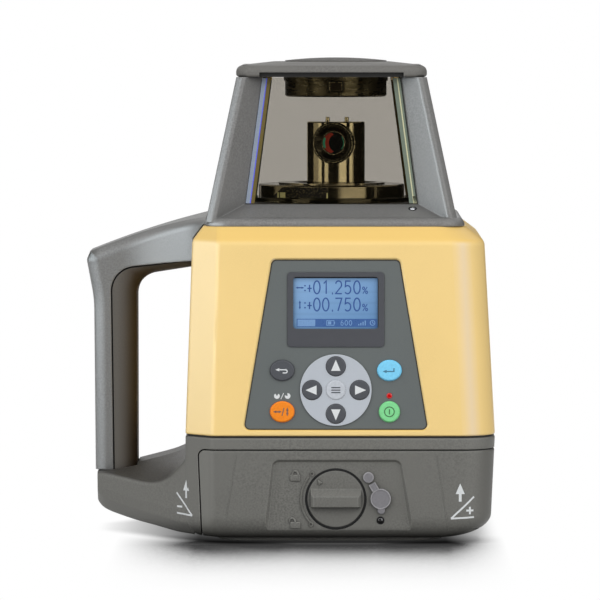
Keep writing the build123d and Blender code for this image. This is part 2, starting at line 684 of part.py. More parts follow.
GRIP_HALF_Y = HANDLE_HALF_Y - 0.4
GRIP_DEPTH = 16.0
GRIP_ROUND = 8.0
GRIP_BEND_R = 12.0
GRIP_RISE = radians(8.9)
GRIP_TURN = 90 - degrees(GRIP_RISE)
GRIP_BEND_X = HANDLE_IN_X + GRIP_BEND_R
GRIP_REACH = COVER_RIGHT_X - GRIP_BEND_X
GRIP_BEND_Z = ARM_UNDER_Z - (GRIP_BEND_R + GRIP_REACH * sin(GRIP_RISE)) / cos(GRIP_RISE)
GRIP_AXIS = Axis((GRIP_BEND_X, 0, GRIP_BEND_Z), (0, 1, 0))
SEAM_GROOVE = 0.8
SEAM_GROOVE_DEEP = 3.0


def grip_section(z):
    """Plan of the upright grip, with big rounds at the finger side."""
    with BuildSketch(Plane.XY.offset(z)) as section:
        with Locations((HANDLE_IN_X - GRIP_DEPTH / 2, 0)):
            Rectangle(GRIP_DEPTH, 2 * GRIP_HALF_Y)
        fillet(section.vertices().group_by(Axis.X)[-1], GRIP_ROUND)
    return section.sketch


def shell_side(plane, gap=0.0):
    """All that lies on the shell's side of the seam, reaching a gap past it."""
    bend = (SEAM_BEND[0] + gap, SEAM_BEND[1] - gap)
    with BuildSketch(plane) as side:
        with BuildLine():
            Polyline(
                (HANDLE_SEAM_X + gap, 0), (HANDLE_SEAM_X + gap, HANDLE_FOOT_Z), bend,
                (COVER_RIGHT_X, ARM_SEAM_Z - gap), (0, ARM_SEAM_Z - gap), (0, LID_Z),
                (2 * HANDLE_OUT_X, LID_Z), (2 * HANDLE_OUT_X, 0), close=True,
            )
        make_face()
        fillet(side.vertices().sort_by_distance((*bend, 0))[0], SEAM_BEND_R - gap)
    return side.sketch


with BuildPart() as handle_cover:
    extrude(grip_section(HANDLE_FOOT_Z), amount=GRIP_BEND_Z - HANDLE_FOOT_Z)
    revolve(grip_section(GRIP_BEND_Z), axis=GRIP_AXIS, revolution_arc=GRIP_TURN)
    arm_face = grip_section(GRIP_BEND_Z).rotate(GRIP_AXIS, GRIP_TURN)
    extrude(arm_face, amount=2 * GRIP_REACH, dir=(cos(GRIP_RISE), 0, sin(GRIP_RISE)))
    split(bisect_by=Plane.YZ.offset(COVER_RIGHT_X), keep=Keep.BOTTOM)
    extrude(shell_side(Plane.XZ), amount=HANDLE_HALF_Y, both=True, mode=Mode.SUBTRACT)
    for side in (1, -1):
        groove_plane = Plane.XZ.offset(side * (GRIP_HALF_Y - SEAM_GROOVE_DEEP))
        extrude(shell_side(groove_plane, SEAM_GROOVE), amount=side * HANDLE_HALF_Y, mode=Mode.SUBTRACT)

# Chassis and levelling gimbal

CHASSIS_Z = SKIRT_Z - 3.2
CHASSIS_LEFT = SKIRT_LEFT_X + 7.2
CHASSIS_RIGHT = CASE_TOP_RIGHT + 3.0
CHASSIS_FRONT = 13.0 - CASE_TOP_HALF_DEPTH
CHASSIS_BACK = CASE_TOP_HALF_DEPTH + 2.0
CHASSIS_CORNER_R = 20.0
HANGER_T = 6.0
RING_T = 6.0
MOTOR_R = 6.5
MOTOR_BOTTOM_Z = TILT_TIP_Z + 13.0
SCREW_BOTTOM_Z = TILT_TIP_Z - 13.0
SCREW_TOP_Z = TILT_TIP_Z + 19.0
LEVEL_X = TILT_REACH + SCREW_OFFSET

with BuildPart() as chassis:
    with BuildSketch(Plane.XY.offset(CHASSIS_Z)):
        with Locations(((CHASSIS_LEFT + CHASSIS_RIGHT) / 2, (CHASSIS_FRONT + CHASSIS_BACK) / 2)):
            RectangleRounded(CHASSIS_RIGHT - CHASSIS_LEFT, CHASSIS_BACK - CHASSIS_FRONT, CHASSIS_CORNER_R)
    extrude(amount=SKIRT_Z - CHASSIS_Z)
    with Locations((HEAD_X, 0, CHASSIS_Z)):
        Cylinder(RING_IN_R + 1, 20, align=UP, mode=Mode.SUBTRACT)
    with Locations((HANGER_X, 0, CHASSIS_Z), (-HANGER_X - HANGER_T, 0, CHASSIS_Z)):
        Box(HANGER_T, 14, CHASSIS_Z - PIVOT_Z + 7, align=(Align.MIN, Align.CENTER, Align.MAX))
    with Locations(Location((0, 0, PIVOT_Z), (0, 90, 0))):
        Cylinder(PIVOT_PIN_R + RUN_GAP, 3 * HANGER_X, mode=Mode.SUBTRACT)

with BuildPart() as gimbal_ring:
    with Locations((0, 0, PIVOT_Z)):
        Cylinder(RING_OUT_R, RING_T)
        with Locations(Location((0, 0, 0), (0, 90, 0))):
            Cylinder(PIVOT_PIN_R, 2 * (HANGER_X + HANGER_T - 1))
        Cylinder(RING_IN_R, RING_T, mode=Mode.SUBTRACT)
        with Locations(Location((0, 0, 0), (90, 0, 0))):
            Cylinder(PIVOT_PIN_R + RUN_GAP, 2 * (RING_OUT_R - 1.4), mode=Mode.SUBTRACT)
    arm_profile = polygon_face(Plane.YZ, [
        (RING_OUT_R - 1.0, PIVOT_Z - RING_T / 2), (RING_OUT_R - 1.0, PIVOT_Z + RING_T / 2),
        (TILT_REACH - 10, PIVOT_Z + RING_T / 2), (TILT_REACH - 8, PIVOT_Z),
        (TILT_REACH - 8, TILT_TIP_Z - 3), (TILT_REACH - 13, TILT_TIP_Z - 3),
        (TILT_REACH - 13, PIVOT_Z - RING_T / 2),
    ])
    extrude(arm_profile, amount=3, both=True)
    with Locations(Location((0, TILT_REACH - 9, TILT_TIP_Z), (-90, 0, 0))):
        Cylinder(1.5, 9, align=UP)
    with Locations((0, TILT_REACH, TILT_TIP_Z)):
        Sphere(2.2)

BARREL_R = 18.0
BARREL_BORE_R = 14.0
BARREL_BOTTOM_Z = PIVOT_Z - 67.0
BARREL_TOP_Z = PIVOT_Z + RING_T / 2
SPIGOT_R = 8.0
SPIGOT_H = 35.0
SPIGOT_TOP_Z = PIVOT_Z + SPIGOT_H
BARREL_FLANGE_R = BARREL_R + 11.0
BEAM_R = 4.4

with BuildPart() as projector_barrel:
    with Locations((0, 0, BARREL_BOTTOM_Z)):
        Cylinder(BARREL_R, BARREL_TOP_Z - BARREL_BOTTOM_Z, align=UP)
        Cylinder(BARREL_FLANGE_R, 3, align=DOWN)
        Cylinder(SPIGOT_R, SPIGOT_TOP_Z - BARREL_BOTTOM_Z, align=UP)
    with Locations(Location((0, 0, PIVOT_Z), (90, 0, 0))):
        Cylinder(PIVOT_PIN_R, 2 * (RING_OUT_R - 2))
    with Locations(Location((BARREL_R - 1, 0, TILT_TIP_Z), (0, 90, 0))):
        Cylinder(3, TILT_REACH - BARREL_R - 9, align=UP)
        Cylinder(1.5, TILT_REACH - BARREL_R + 1, align=UP)
    with Locations((TILT_REACH, 0, TILT_TIP_Z)):
        Sphere(2.2)
    with Locations((0, 0, BARREL_BOTTOM_Z - 4)):
        Cylinder(BARREL_BORE_R, PIVOT_Z - BARREL_BOTTOM_Z, align=UP, mode=Mode.SUBTRACT)
        Cylinder(BEAM_R, 140, align=UP, mode=Mode.SUBTRACT)

with BuildPart() as laser_module:
    with Locations((0, 0, BARREL_BOTTOM_Z)):
        Cylinder(BARREL_BORE_R, 18, align=UP)
        Cylinder(5, 6, align=DOWN)
    with Locations((0, 0, BARREL_BOTTOM_Z + 18)):
        Cylinder(5, 8, align=UP)

LENS_BELOW_Z = PIVOT_Z - 27.0
LENS_BELOW_T = 4.8
LENS_CURVE_R = 56.0

with BuildPart() as collimator:
    with Locations((0, 0, LENS_BELOW_Z)):
        Cylinder(BARREL_BORE_R, LENS_BELOW_T)
    for side in (-1, 1):
        with Locations((0, 0, LENS_BELOW_Z - side * (LENS_CURVE_R - LENS_BELOW_T / 2))):
            Sphere(LENS_CURVE_R, mode=Mode.INTERSECT)

with BuildPart() as tilt_sensors:
    with Locations((0, -BARREL_R - 5.2, BARREL_BOTTOM_Z)):
        Box(26, 8, 9, align=UP)
    with Locations((-BARREL_R - 5.2, 0, BARREL_BOTTOM_Z)):
        Box(8, 26, 9, align=UP)

BEARING_R = 12.0
BEARING_H = 4.0
BEARING_LOW_Z = PIVOT_Z + 19.0
BEARING_HIGH_Z = PIVOT_Z + 29.0

with BuildPart() as rotor_bearings:
    with Locations((0, 0, BEARING_LOW_Z), (0, 0, BEARING_HIGH_Z)):
        Cylinder(BEARING_R, BEARING_H, align=UP)
        Cylinder(SPIGOT_R, BEARING_H, align=UP, mode=Mode.SUBTRACT)

STATOR_R = 13.5

with BuildPart() as rotor_motor:
    with Locations((0, 0, BARREL_TOP_Z)):
        Cylinder(STATOR_R, 9, align=UP)
        Cylinder(SPIGOT_R, 9, align=UP, mode=Mode.SUBTRACT)

# Spinning head

BELL_R = 18.0
BELL_LOW_Z = BARREL_TOP_Z + 2.0
PRISM_SHELF_Z = LENS_Z - PRISM_FACE / 2
PRISM_ROOM_R = 12.5
CAP_T = 2.4
PEG_X = 5.0
PEG_Y = 7.5
PEG_R = 1.1
ROTOR_TURN = -5.4

with BuildPart() as rotor_head:
    with Locations((0, 0, BELL_LOW_Z)):
        Cylinder(BELL_R, BEARING_LOW_Z - 1 - BELL_LOW_Z, align=UP)
        Cylinder(ROTOR_R, ROTOR_TOP_Z - BELL_LOW_Z, align=UP)
        Cylinder(STATOR_R + 0.5, BEARING_LOW_Z - 4 - BELL_LOW_Z, align=UP, mode=Mode.SUBTRACT)
        Cylinder(BEARING_R + RUN_GAP, SPIGOT_TOP_Z + 1 - BELL_LOW_Z, align=UP, mode=Mode.SUBTRACT)
        Cylinder(BEAM_R, PRISM_SHELF_Z - BELL_LOW_Z, align=UP, mode=Mode.SUBTRACT)
    with Locations((0, 0, PRISM_SHELF_Z)):
        Cylinder(PRISM_ROOM_R, ROTOR_TOP_Z - CAP_T - PRISM_SHELF_Z, align=UP, mode=Mode.SUBTRACT)
    fillet(rotor_head.faces().sort_by(Axis.Z)[-1].edges(), 0.8)
    with Locations((-PEG_X, PEG_Y, ROTOR_TOP_Z), (PEG_X, PEG_Y, ROTOR_TOP_Z)):
        Cylinder(PEG_R, 2 * PEG_R, align=UP)
    with Locations(Location((0, -PRISM_ROOM_R + 3, LENS_Z), (90, 0, 0))):
        Cylinder(LENS_RING_R, 20, align=UP, mode=Mode.SUBTRACT)

BEZEL_FRONT_Y = ROTOR_R + 1.0

with BuildPart() as lens_bezel:
    with Locations(Location((0, -BEZEL_FRONT_Y, LENS_Z), (90, 0, 0))):
        Cylinder(LENS_RING_R, BEZEL_FRONT_Y - PRISM_ROOM_R + 3, align=DOWN)
    chamfer(lens_bezel.faces().sort_by(Axis.Y)[0].edges(), 0.8)
    with Locations(Location((0, -BEZEL_FRONT_Y, LENS_Z), (90, 0, 0))):
        Cone(LENS_R, LENS_R + 2.6, 2.6, align=DOWN, mode=Mode.SUBTRACT)
        Cylinder(LENS_R, 12, align=DOWN, mode=Mode.SUBTRACT)

with BuildPart() as exit_lens:
    with Locations(Location((0, -BEZEL_FRONT_Y + 2.6, LENS_Z), (90, 0, 0))):
        Cylinder(LENS_R, 2.2, align=DOWN)

with BuildPart() as pentaprism:
    prism_y = -PRISM_FACE / 2 - 1.4
    prism_z = PRISM_SHELF_Z
    prism_long = PRISM_FACE * sqrt(2)
    prism_profile = polygon_face(Plane.YZ, [
        (prism_y, prism_z), (prism_y + PRISM_FACE, prism_z),
        (prism_y + prism_long, prism_z + PRISM_FACE), (prism_y + PRISM_FACE, prism_z + prism_long),
        (prism_y, prism_z + PRISM_FACE),
    ])
    extrude(prism_profile, amount=PRISM_FACE / 2, both=True)

# Levelling drives: one set at the right, one at the back


def level_screw_at(x, y):
    """Lead screw hanging from its motor."""
    with BuildPart() as screw:
        with Locations((x, y, SCREW_BOTTOM_Z)):
            Cylinder(SCREW_R, SCREW_TOP_Z - SCREW_BOTTOM_Z, align=UP)
    return screw.part


NUT_HALF = 7.0
NUT_MOUTH = 4.5
NUT_BACK = 5.0
FORK_GAP = 5.3
FORK_DEPTH = 9.4
NUT_H = 12.0

with BuildPart() as nut_at_right:
    with Locations((TILT_REACH - NUT_MOUTH, 0, TILT_TIP_Z)):
        Box(
            NUT_MOUTH + SCREW_OFFSET + NUT_BACK, 2 * NUT_HALF, NUT_H,
            align=(Align.MIN, Align.CENTER, Align.CENTER),
        )
        Box(
            FORK_DEPTH, 4 * NUT_HALF, FORK_GAP,
            align=(Align.MIN, Align.CENTER, Align.CENTER), mode=Mode.SUBTRACT,
        )
    with Locations((LEVEL_X, 0, TILT_TIP_Z)):
        Cylinder(SCREW_R + RUN_GAP, 30, mode=Mode.SUBTRACT)

with BuildPart() as level_motors:
    with Locations((LEVEL_X, 0, MOTOR_BOTTOM_Z), (0, LEVEL_X, MOTOR_BOTTOM_Z)):
        Cylinder(MOTOR_R, CHASSIS_Z - MOTOR_BOTTOM_Z, align=UP)
        Cylinder(SCREW_R + RUN_GAP, SCREW_TOP_Z + 0.5 - MOTOR_BOTTOM_Z, align=UP, mode=Mode.SUBTRACT)

# Control panel

KEYS = {
    "esc_key": (-SIDE_KEY_X, SIDE_KEY_HIGH, SIDE_KEY_RX, SIDE_KEY_RY),
    "enter_key": (SIDE_KEY_X, SIDE_KEY_HIGH, SIDE_KEY_RX, SIDE_KEY_RY),
    "axis_key": (-SIDE_KEY_X, SIDE_KEY_LOW, SIDE_KEY_RX, SIDE_KEY_RY),
    "power_key": (SIDE_KEY_X, SIDE_KEY_LOW, SIDE_KEY_RY, SIDE_KEY_RY),
    "menu_key": (0, NAV_UP, NAV_KEY_R, NAV_KEY_R),
    "up_key": (0, NAV_UP + NAV_STEP, NAV_KEY_R, NAV_KEY_R),
    "down_key": (0, NAV_UP - NAV_STEP, NAV_KEY_R, NAV_KEY_R),
    "left_key": (-NAV_STEP, NAV_UP, NAV_KEY_R, NAV_KEY_R),
    "right_key": (NAV_STEP, NAV_UP, NAV_KEY_R, NAV_KEY_R),
}
NAV_T = 0.7
NAV_KEYS = [name for name, spot in KEYS.items() if abs(spot[0]) < SIDE_KEY_X]


def key_face(plane, name, grow=0.0):
    """Outline of one key on a plane."""
    x, up, rx, ry = KEYS[name]
    with BuildSketch(plane) as face:
        with Locations((x, up)):
            if rx == ry:
                Circle(rx + grow)
            else:
                Ellipse(rx + grow, ry + grow)
    return face.sketch


PANEL_FACE = FRONT.offset(-PANEL_SUNK)
PANEL_BACK = FRONT.offset(-PANEL_SUNK - PANEL_T)
BOARD_FACE = FRONT.offset(-BOARD_DEPTH)
POST_SPOTS = [
    (side * half, up)
    for half, up in ((PANEL_HALF_LOW - 8.5, PANEL_LOW + 6.5), (PANEL_HALF_HIGH - 4.2, PANEL_HIGH - 9.2))
    for side in (-1, 1)
]

with BuildPart() as panel_plate:
    extrude(panel_outline(PANEL_FACE), amount=-PANEL_T)
    extrude(panel_outline(FRONT.offset(-WALL), 2.5), amount=-(PANEL_SUNK + PANEL_T - WALL))
    with BuildSketch(PANEL_BACK):
        with Locations(*POST_SPOTS):
            Circle(2.5)
    extrude(amount=-(BOARD_DEPTH - PANEL_SUNK - PANEL_T))
    for key_name in KEYS:
        extrude(key_face(PANEL_FACE, key_name, KEY_GAP), amount=-2 * PANEL_T, mode=Mode.SUBTRACT)
    with BuildSketch(PANEL_FACE):
        with Locations((0, BEZEL_UP)):
            RectangleRounded(BEZEL_W, BEZEL_H, BEZEL_R)
        with Locations((SIDE_KEY_X, LAMP_UP)):
            Circle(LAMP_R)
    extrude(amount=-2 * PANEL_T, mode=Mode.SUBTRACT)

with BuildPart() as lcd_bezel:
    with BuildSketch(FRONT.offset(-BEZEL_SUNK)):
        with Locations((0, BEZEL_UP)):
            RectangleRounded(BEZEL_W, BEZEL_H, BEZEL_R)
        with Locations((0, LCD_UP)):
            RectangleRounded(LCD_W, LCD_H, LCD_R, mode=Mode.SUBTRACT)
    extrude(amount=-(PANEL_SUNK + PANEL_T - BEZEL_SUNK))

with BuildPart() as lcd_module:
    with BuildSketch(FRONT.offset(-LCD_SUNK)):
        with Locations((0, LCD_UP)):
            RectangleRounded(LCD_W, LCD_H, LCD_R)
    extrude(amount=-(PANEL_SUNK + PANEL_T - LCD_SUNK))
    with BuildSketch(PANEL_BACK):
        with Locations((0, LCD_UP - 1)):
            Rectangle(LCD_W + 4, LCD_H + 6)
    extrude(amount=-(BOARD_DEPTH - PANEL_SUNK - PANEL_T))

with BuildPart() as nav_ring:
    with BuildSketch(PANEL_FACE):
        with Locations((0, NAV_UP)):
            Circle(NAV_R)
    extrude(amount=NAV_T)
    for key_name in NAV_KEYS:
        extrude(key_face(PANEL_FACE, key_name, KEY_GAP), amount=2 * NAV_T, mode=Mode.SUBTRACT)


def key_cap(name):
    """Rubber key with a soft top edge, reaching through the panel."""
    with BuildPart() as cap:
        extrude(key_face(PANEL_FACE.offset(KEY_RISE), name), amount=-KEY_DEPTH)
        fillet(cap.faces().sort_by(Axis.Y)[0].edges(), 0.5)
    return cap.part


MAT_T = 1.5
DOME_R = 3.6
DOME_TOP = KEY_DEPTH - KEY_RISE + PANEL_SUNK + 1.1

with BuildPart() as keypad_mat:
    with BuildSketch(FRONT.offset(-BOARD_DEPTH + MAT_T)):
        with Locations((0, NAV_UP)):
            RectangleRounded(2 * SIDE_KEY_X + 14, 2 * NAV_R + 0.8, 4)
        with Locations(*POST_SPOTS):
            Circle(3.5, mode=Mode.SUBTRACT)
        with Locations((SIDE_KEY_X, LAMP_UP)):
            Circle(LAMP_R + 0.5, mode=Mode.SUBTRACT)
    extrude(amount=-MAT_T)
    with BuildSketch(FRONT.offset(-DOME_TOP)):
        with Locations(*[(spot[0], spot[1]) for spot in KEYS.values()]):
            Circle(DOME_R)
    extrude(amount=-(BOARD_DEPTH - DOME_TOP))

with BuildPart() as power_led:
    with BuildSketch(FRONT.offset(-0.4)):
        with Locations((SIDE_KEY_X, LAMP_UP)):
            Circle(LAMP_R)
    extrude(amount=-(BOARD_DEPTH - 0.4))
    fillet(power_led.faces().sort_by(Axis.Y)[0].edges(), 0.6)

with BuildPart() as main_board:
    with BuildSketch(BOARD_FACE):
        with Locations((0, (PANEL_LOW + PANEL_HIGH) / 2)):
            RectangleRounded(2 * PANEL_HALF_LOW - 8, PANEL_H - 4, 3)
    extrude(amount=-BOARD_T)

# Battery holder

RECESS_TOP_Z = DOOR_TOP_Z - 5.8
RECESS_OUTLINE = [
    (-KNOB_R - 16.4, RECESS_TOP_Z), (KNOB_R + 17.4, RECESS_TOP_Z),
    (KNOB_R + 24.3, -2.0), (-KNOB_R - 20.7, -2.0),
]
RECESS_CORNER_R = 2.5
RECESS_SLOPE = 45
KNOB_CUP_R = 18.0
KNOB_CUP_T = 3.0
KNOB_GAP = 0.7
SHAFT_R = 4.0
CAM_T = 3.0
BAR_HIGH = 5.0
BAR_EDGE = 1.3
BAR_LOW = -3.9
BAR_FOOT = -4.2
BAR_OUT = 3.4
BAR_HALF = 12.6
BAR_END = 1.3
DOOR_FLOOR_T = 4.0
DOOR_SIDE = 7.0
DOOR_FACE = Plane.XZ.offset(RECESS_Y)

with BuildPart() as battery_door:
    add(base_block.part)
    add(door_region(), mode=Mode.INTERSECT)
    skin_edges = [e for e in battery_door.edges() if e.center().Y < BAY_BACK - 1]
    lip = [e for e in skin_edges if e.center().Z > DOOR_TOP_Z - 0.05 and e.geom_type != GeomType.LINE]
    fillet(lip, SEAM_R)
    with BuildSketch(Plane.XY.offset(BASE_BOTTOM_Z + DOOR_FLOOR_T)) as hollow:
        with BuildLine():
            Polyline(
                (BAY_LEFT + WALL, BAY_BACK + 1), (BAY_LEFT + WALL, -DOOR_WALL_Y),
                (BODY_RIGHT - DOOR_SIDE, -DOOR_WALL_Y), (BODY_RIGHT - DOOR_SIDE, BAY_BACK + 1), close=True,
            )
        make_face()
        fillet(hollow.vertices().group_by(Axis.Y)[0], 11)
    extrude(amount=BASE_H, mode=Mode.SUBTRACT)
    with BuildSketch(DOOR_FACE) as recess:
        with BuildLine():
            Polyline(*RECESS_OUTLINE, close=True)
        make_face()
        fillet(recess.vertices().group_by(Axis.Y)[-1], RECESS_CORNER_R)
    extrude(amount=10, taper=-RECESS_SLOPE, mode=Mode.SUBTRACT)
    with Locations(Location((0, -DOOR_WALL_Y, KNOB_Z), (90, 0, 0))):
        Cylinder(KNOB_CUP_R, KNOB_CUP_T, align=DOWN)
        Cylinder(KNOB_R + KNOB_GAP, KNOB_CUP_T - 1.5, align=DOWN, mode=Mode.SUBTRACT)
        Cylinder(SHAFT_R + RUN_GAP, 2 * KNOB_CUP_T, mode=Mode.SUBTRACT)
        Cylinder(KNOB_R + KNOB_GAP, 20, align=UP, mode=Mode.SUBTRACT)
    with Locations(Location((FLAP_PLUG[0], -RECESS_Y, FLAP_PLUG[1]), (90, 0, 0))):
        Cylinder(JACK_R, 40, mode=Mode.SUBTRACT)
    with Locations(Location((CHARGE_LAMP_AT[0], -RECESS_Y, CHARGE_LAMP_AT[1]), (90, 0, 0))):
        Cylinder(LAMP_R, 40, mode=Mode.SUBTRACT)

CELL_SPLIT = 1.2
CELL_NUB = 2.0
CONTACT_H = 2.4
TRAY_END_T = 2.4
TRAY_HALF_X = CELL_SPLIT + CELL_L + CONTACT_H + TRAY_END_T
TRAY_FRONT = -DOOR_WALL_Y + 9.2
TRAY_TOP_Z = CELL_Z + 9
CELL_FIT = 0.3
ROW_STEP = 2 * CELL_R + 0.8
ROW_FRONT_Y = TRAY_FRONT + 1.0 + CELL_R
ROW_SPOTS = [ROW_FRONT_Y, ROW_FRONT_Y + ROW_STEP]
TRAY_BACK = ROW_SPOTS[1] + CELL_R + 1.0

with BuildPart() as battery_tray:
    with Locations((TRAY_X, TRAY_FRONT, TRAY_BOTTOM_Z)):
        Box(
            2 * TRAY_HALF_X, TRAY_BACK - TRAY_FRONT, TRAY_TOP_Z - TRAY_BOTTOM_Z,
            align=(Align.CENTER, Align.MIN, Align.MIN),
        )
    for row_y in ROW_SPOTS:
        with Locations((TRAY_X, row_y, CELL_Z)):
            Box(2 * (TRAY_HALF_X - TRAY_END_T), 2 * (CELL_R + CELL_FIT), 60, align=UP, mode=Mode.SUBTRACT)
            with Locations(Location((0, 0, 0), (0, 90, 0))):
                Cylinder(CELL_R + CELL_FIT, 2 * (TRAY_HALF_X - TRAY_END_T), mode=Mode.SUBTRACT)
    with Locations((TRAY_X, TRAY_FRONT, TRAY_BOTTOM_Z)):
        Box(1.6, TRAY_BACK - TRAY_FRONT, 10, align=(Align.CENTER, Align.MIN, Align.MIN))
    with Locations((TRAY_X - 42, TRAY_FRONT, TRAY_BOTTOM_Z), (TRAY_X + 42, TRAY_FRONT, TRAY_BOTTOM_Z)):
        Box(8, 9.2, 22, align=(Align.CENTER, Align.MAX, Align.MIN))

with BuildPart() as battery_cells:
    for row_y in ROW_SPOTS:
        for side in (-1, 1):
            with Locations(Location((TRAY_X + side * CELL_SPLIT, row_y, CELL_Z), (0, 90 * side, 0))):
                Cylinder(CELL_R, CELL_L - CELL_NUB, align=UP)
                Cylinder(4.8, CELL_L, align=UP)

with BuildPart() as battery_contacts:
    for row_y in ROW_SPOTS:
        for side in (-1, 1):
            contact_x = TRAY_X + side * (TRAY_HALF_X - TRAY_END_T)
            with Locations(Location((contact_x, row_y, CELL_Z), (0, -90 * side, 0))):
                Box(18, 16, 0.8, align=UP)
                Cone(5, 3, CONTACT_H, align=UP)

with BuildPart() as lock_knob:
    with Locations(Location((0, -RECESS_Y, KNOB_Z), (90, 0, 0))):
        Cylinder(KNOB_R, RECESS_Y - DOOR_WALL_Y + 1.2, align=DOWN)
    fillet(lock_knob.faces().sort_by(Axis.Y)[0].edges(), 0.6)
    with Locations(Location((0, -DOOR_WALL_Y, KNOB_Z), (90, 0, 0))):
        Cylinder(SHAFT_R, 7, align=DOWN)
    with BuildPart(mode=Mode.PRIVATE) as bar:
        bar_profile = polygon_face(Plane.YZ, [
            (-RECESS_Y + 1, KNOB_Z + BAR_HIGH), (-RECESS_Y, KNOB_Z + BAR_HIGH),
            (-RECESS_Y - BAR_OUT, KNOB_Z + BAR_EDGE), (-RECESS_Y - BAR_OUT, KNOB_Z + BAR_LOW),
            (-RECESS_Y, KNOB_Z + BAR_FOOT), (-RECESS_Y + 1, KNOB_Z + BAR_FOOT),
        ])
        extrude(bar_profile, amount=BAR_HALF, both=True)
        bar_front = bar.faces().sort_by(Axis.Y)[0]
        chamfer(bar_front.edges().filter_by(Axis.Z), BAR_END)
    add(bar.part)

with BuildPart() as latch_cam:
    with BuildSketch(Plane.XZ.offset(DOOR_WALL_Y - KNOB_CUP_T - 0.4)):
        with Locations((0, KNOB_Z)):
            SlotOverall(24, 10)
            Circle(SHAFT_R, mode=Mode.SUBTRACT)
    extrude(amount=-CAM_T)

with BuildPart() as charge_jack:
    with Locations(Location((FLAP_PLUG[0], -RECESS_Y + 0.4, FLAP_PLUG[1]), (90, 0, 0))):
        Cylinder(JACK_R, 9, align=DOWN)
        Cylinder(JACK_R - 0.8, 7, align=DOWN, mode=Mode.SUBTRACT)
    with Locations(Location((FLAP_PLUG[0], -RECESS_Y + 3.2, FLAP_PLUG[1]), (90, 0, 0))):
        Cylinder(0.9, 5, align=DOWN)

with BuildPart() as charge_lamp:
    with Locations(Location((CHARGE_LAMP_AT[0], -RECESS_Y - 0.3, CHARGE_LAMP_AT[1]), (90, 0, 0))):
        Cylinder(LAMP_R, 6, align=DOWN)
    fillet(charge_lamp.faces().sort_by(Axis.Y)[0].edges(), 0.4)

# Charge flap: the pin stays in the door, strap and plug swing out about a line across the strap

FLAP_RUN = sqrt((FLAP_PLUG[0] - FLAP_PIN[0]) ** 2 + (FLAP_PLUG[1] - FLAP_PIN[1]) ** 2)
FLAP_TURN = degrees(atan2(FLAP_PLUG[1] - FLAP_PIN[1], FLAP_PLUG[0] - FLAP_PIN[0]))
FLAP_PLANE = Plane(
    origin=(FLAP_PIN[0], -RECESS_Y - 0.1, FLAP_PIN[1]),
    x_dir=(cos(radians(FLAP_TURN)), 0, sin(radians(FLAP_TURN))), z_dir=(0, -1, 0),
)

with BuildPart() as flap_pin:
    with BuildSketch(FLAP_PLANE.offset(-0.1)):
        Circle(FLAP_PIN_R)
    extrude(amount=FLAP_T)
    fillet(flap_pin.faces().sort_by(Axis.Y)[0].edges(), 0.5)

STRAP_W = 3.6
FLAP_TAB_R = 1.9

with BuildPart() as charge_flap:
    with BuildSketch(FLAP_PLANE):
        with Locations((FLAP_RUN, 0)):
            Circle(FLAP_PLUG_R)
        with Locations((FLAP_PIN_R + 0.9, 0)):
            Rectangle(FLAP_RUN - FLAP_PIN_R - 2, STRAP_W, align=(Align.MIN, Align.CENTER))
        with Locations((FLAP_RUN + FLAP_PLUG_R, -FLAP_PLUG_R / 2)):
            Circle(FLAP_TAB_R)
    extrude(amount=FLAP_T)
    fillet(charge_flap.faces().sort_by(Axis.Y)[0].edges(), 0.45)
    with BuildSketch(FLAP_PLANE):
        with Locations((FLAP_RUN, 0)):
            Circle(JACK_R - 1.3)
    extrude(amount=-1.6)

# Screws of the lid and of the base plate

with BuildPart() as case_screws:
    with Locations(*[(x, y, LID_SCREW_Z) for x, y in LID_SCREW_SPOTS]):
        Cylinder(SCREW_HEAD_R, SCREW_HEAD_H, align=UP)
        Cylinder(SCREW_SHANK_R, LID_SCREW_Z - LID_Z, align=DOWN)
    with Locations(*[(x, y, PLATE_Z) for x, y in BASE_SCREW_SPOTS]):
        Cylinder(SCREW_HEAD_R, SCREW_HEAD_H, align=UP)
        Cylinder(SCREW_SHANK_R, BASE_BOTTOM_Z - PLATE_Z, align=UP)

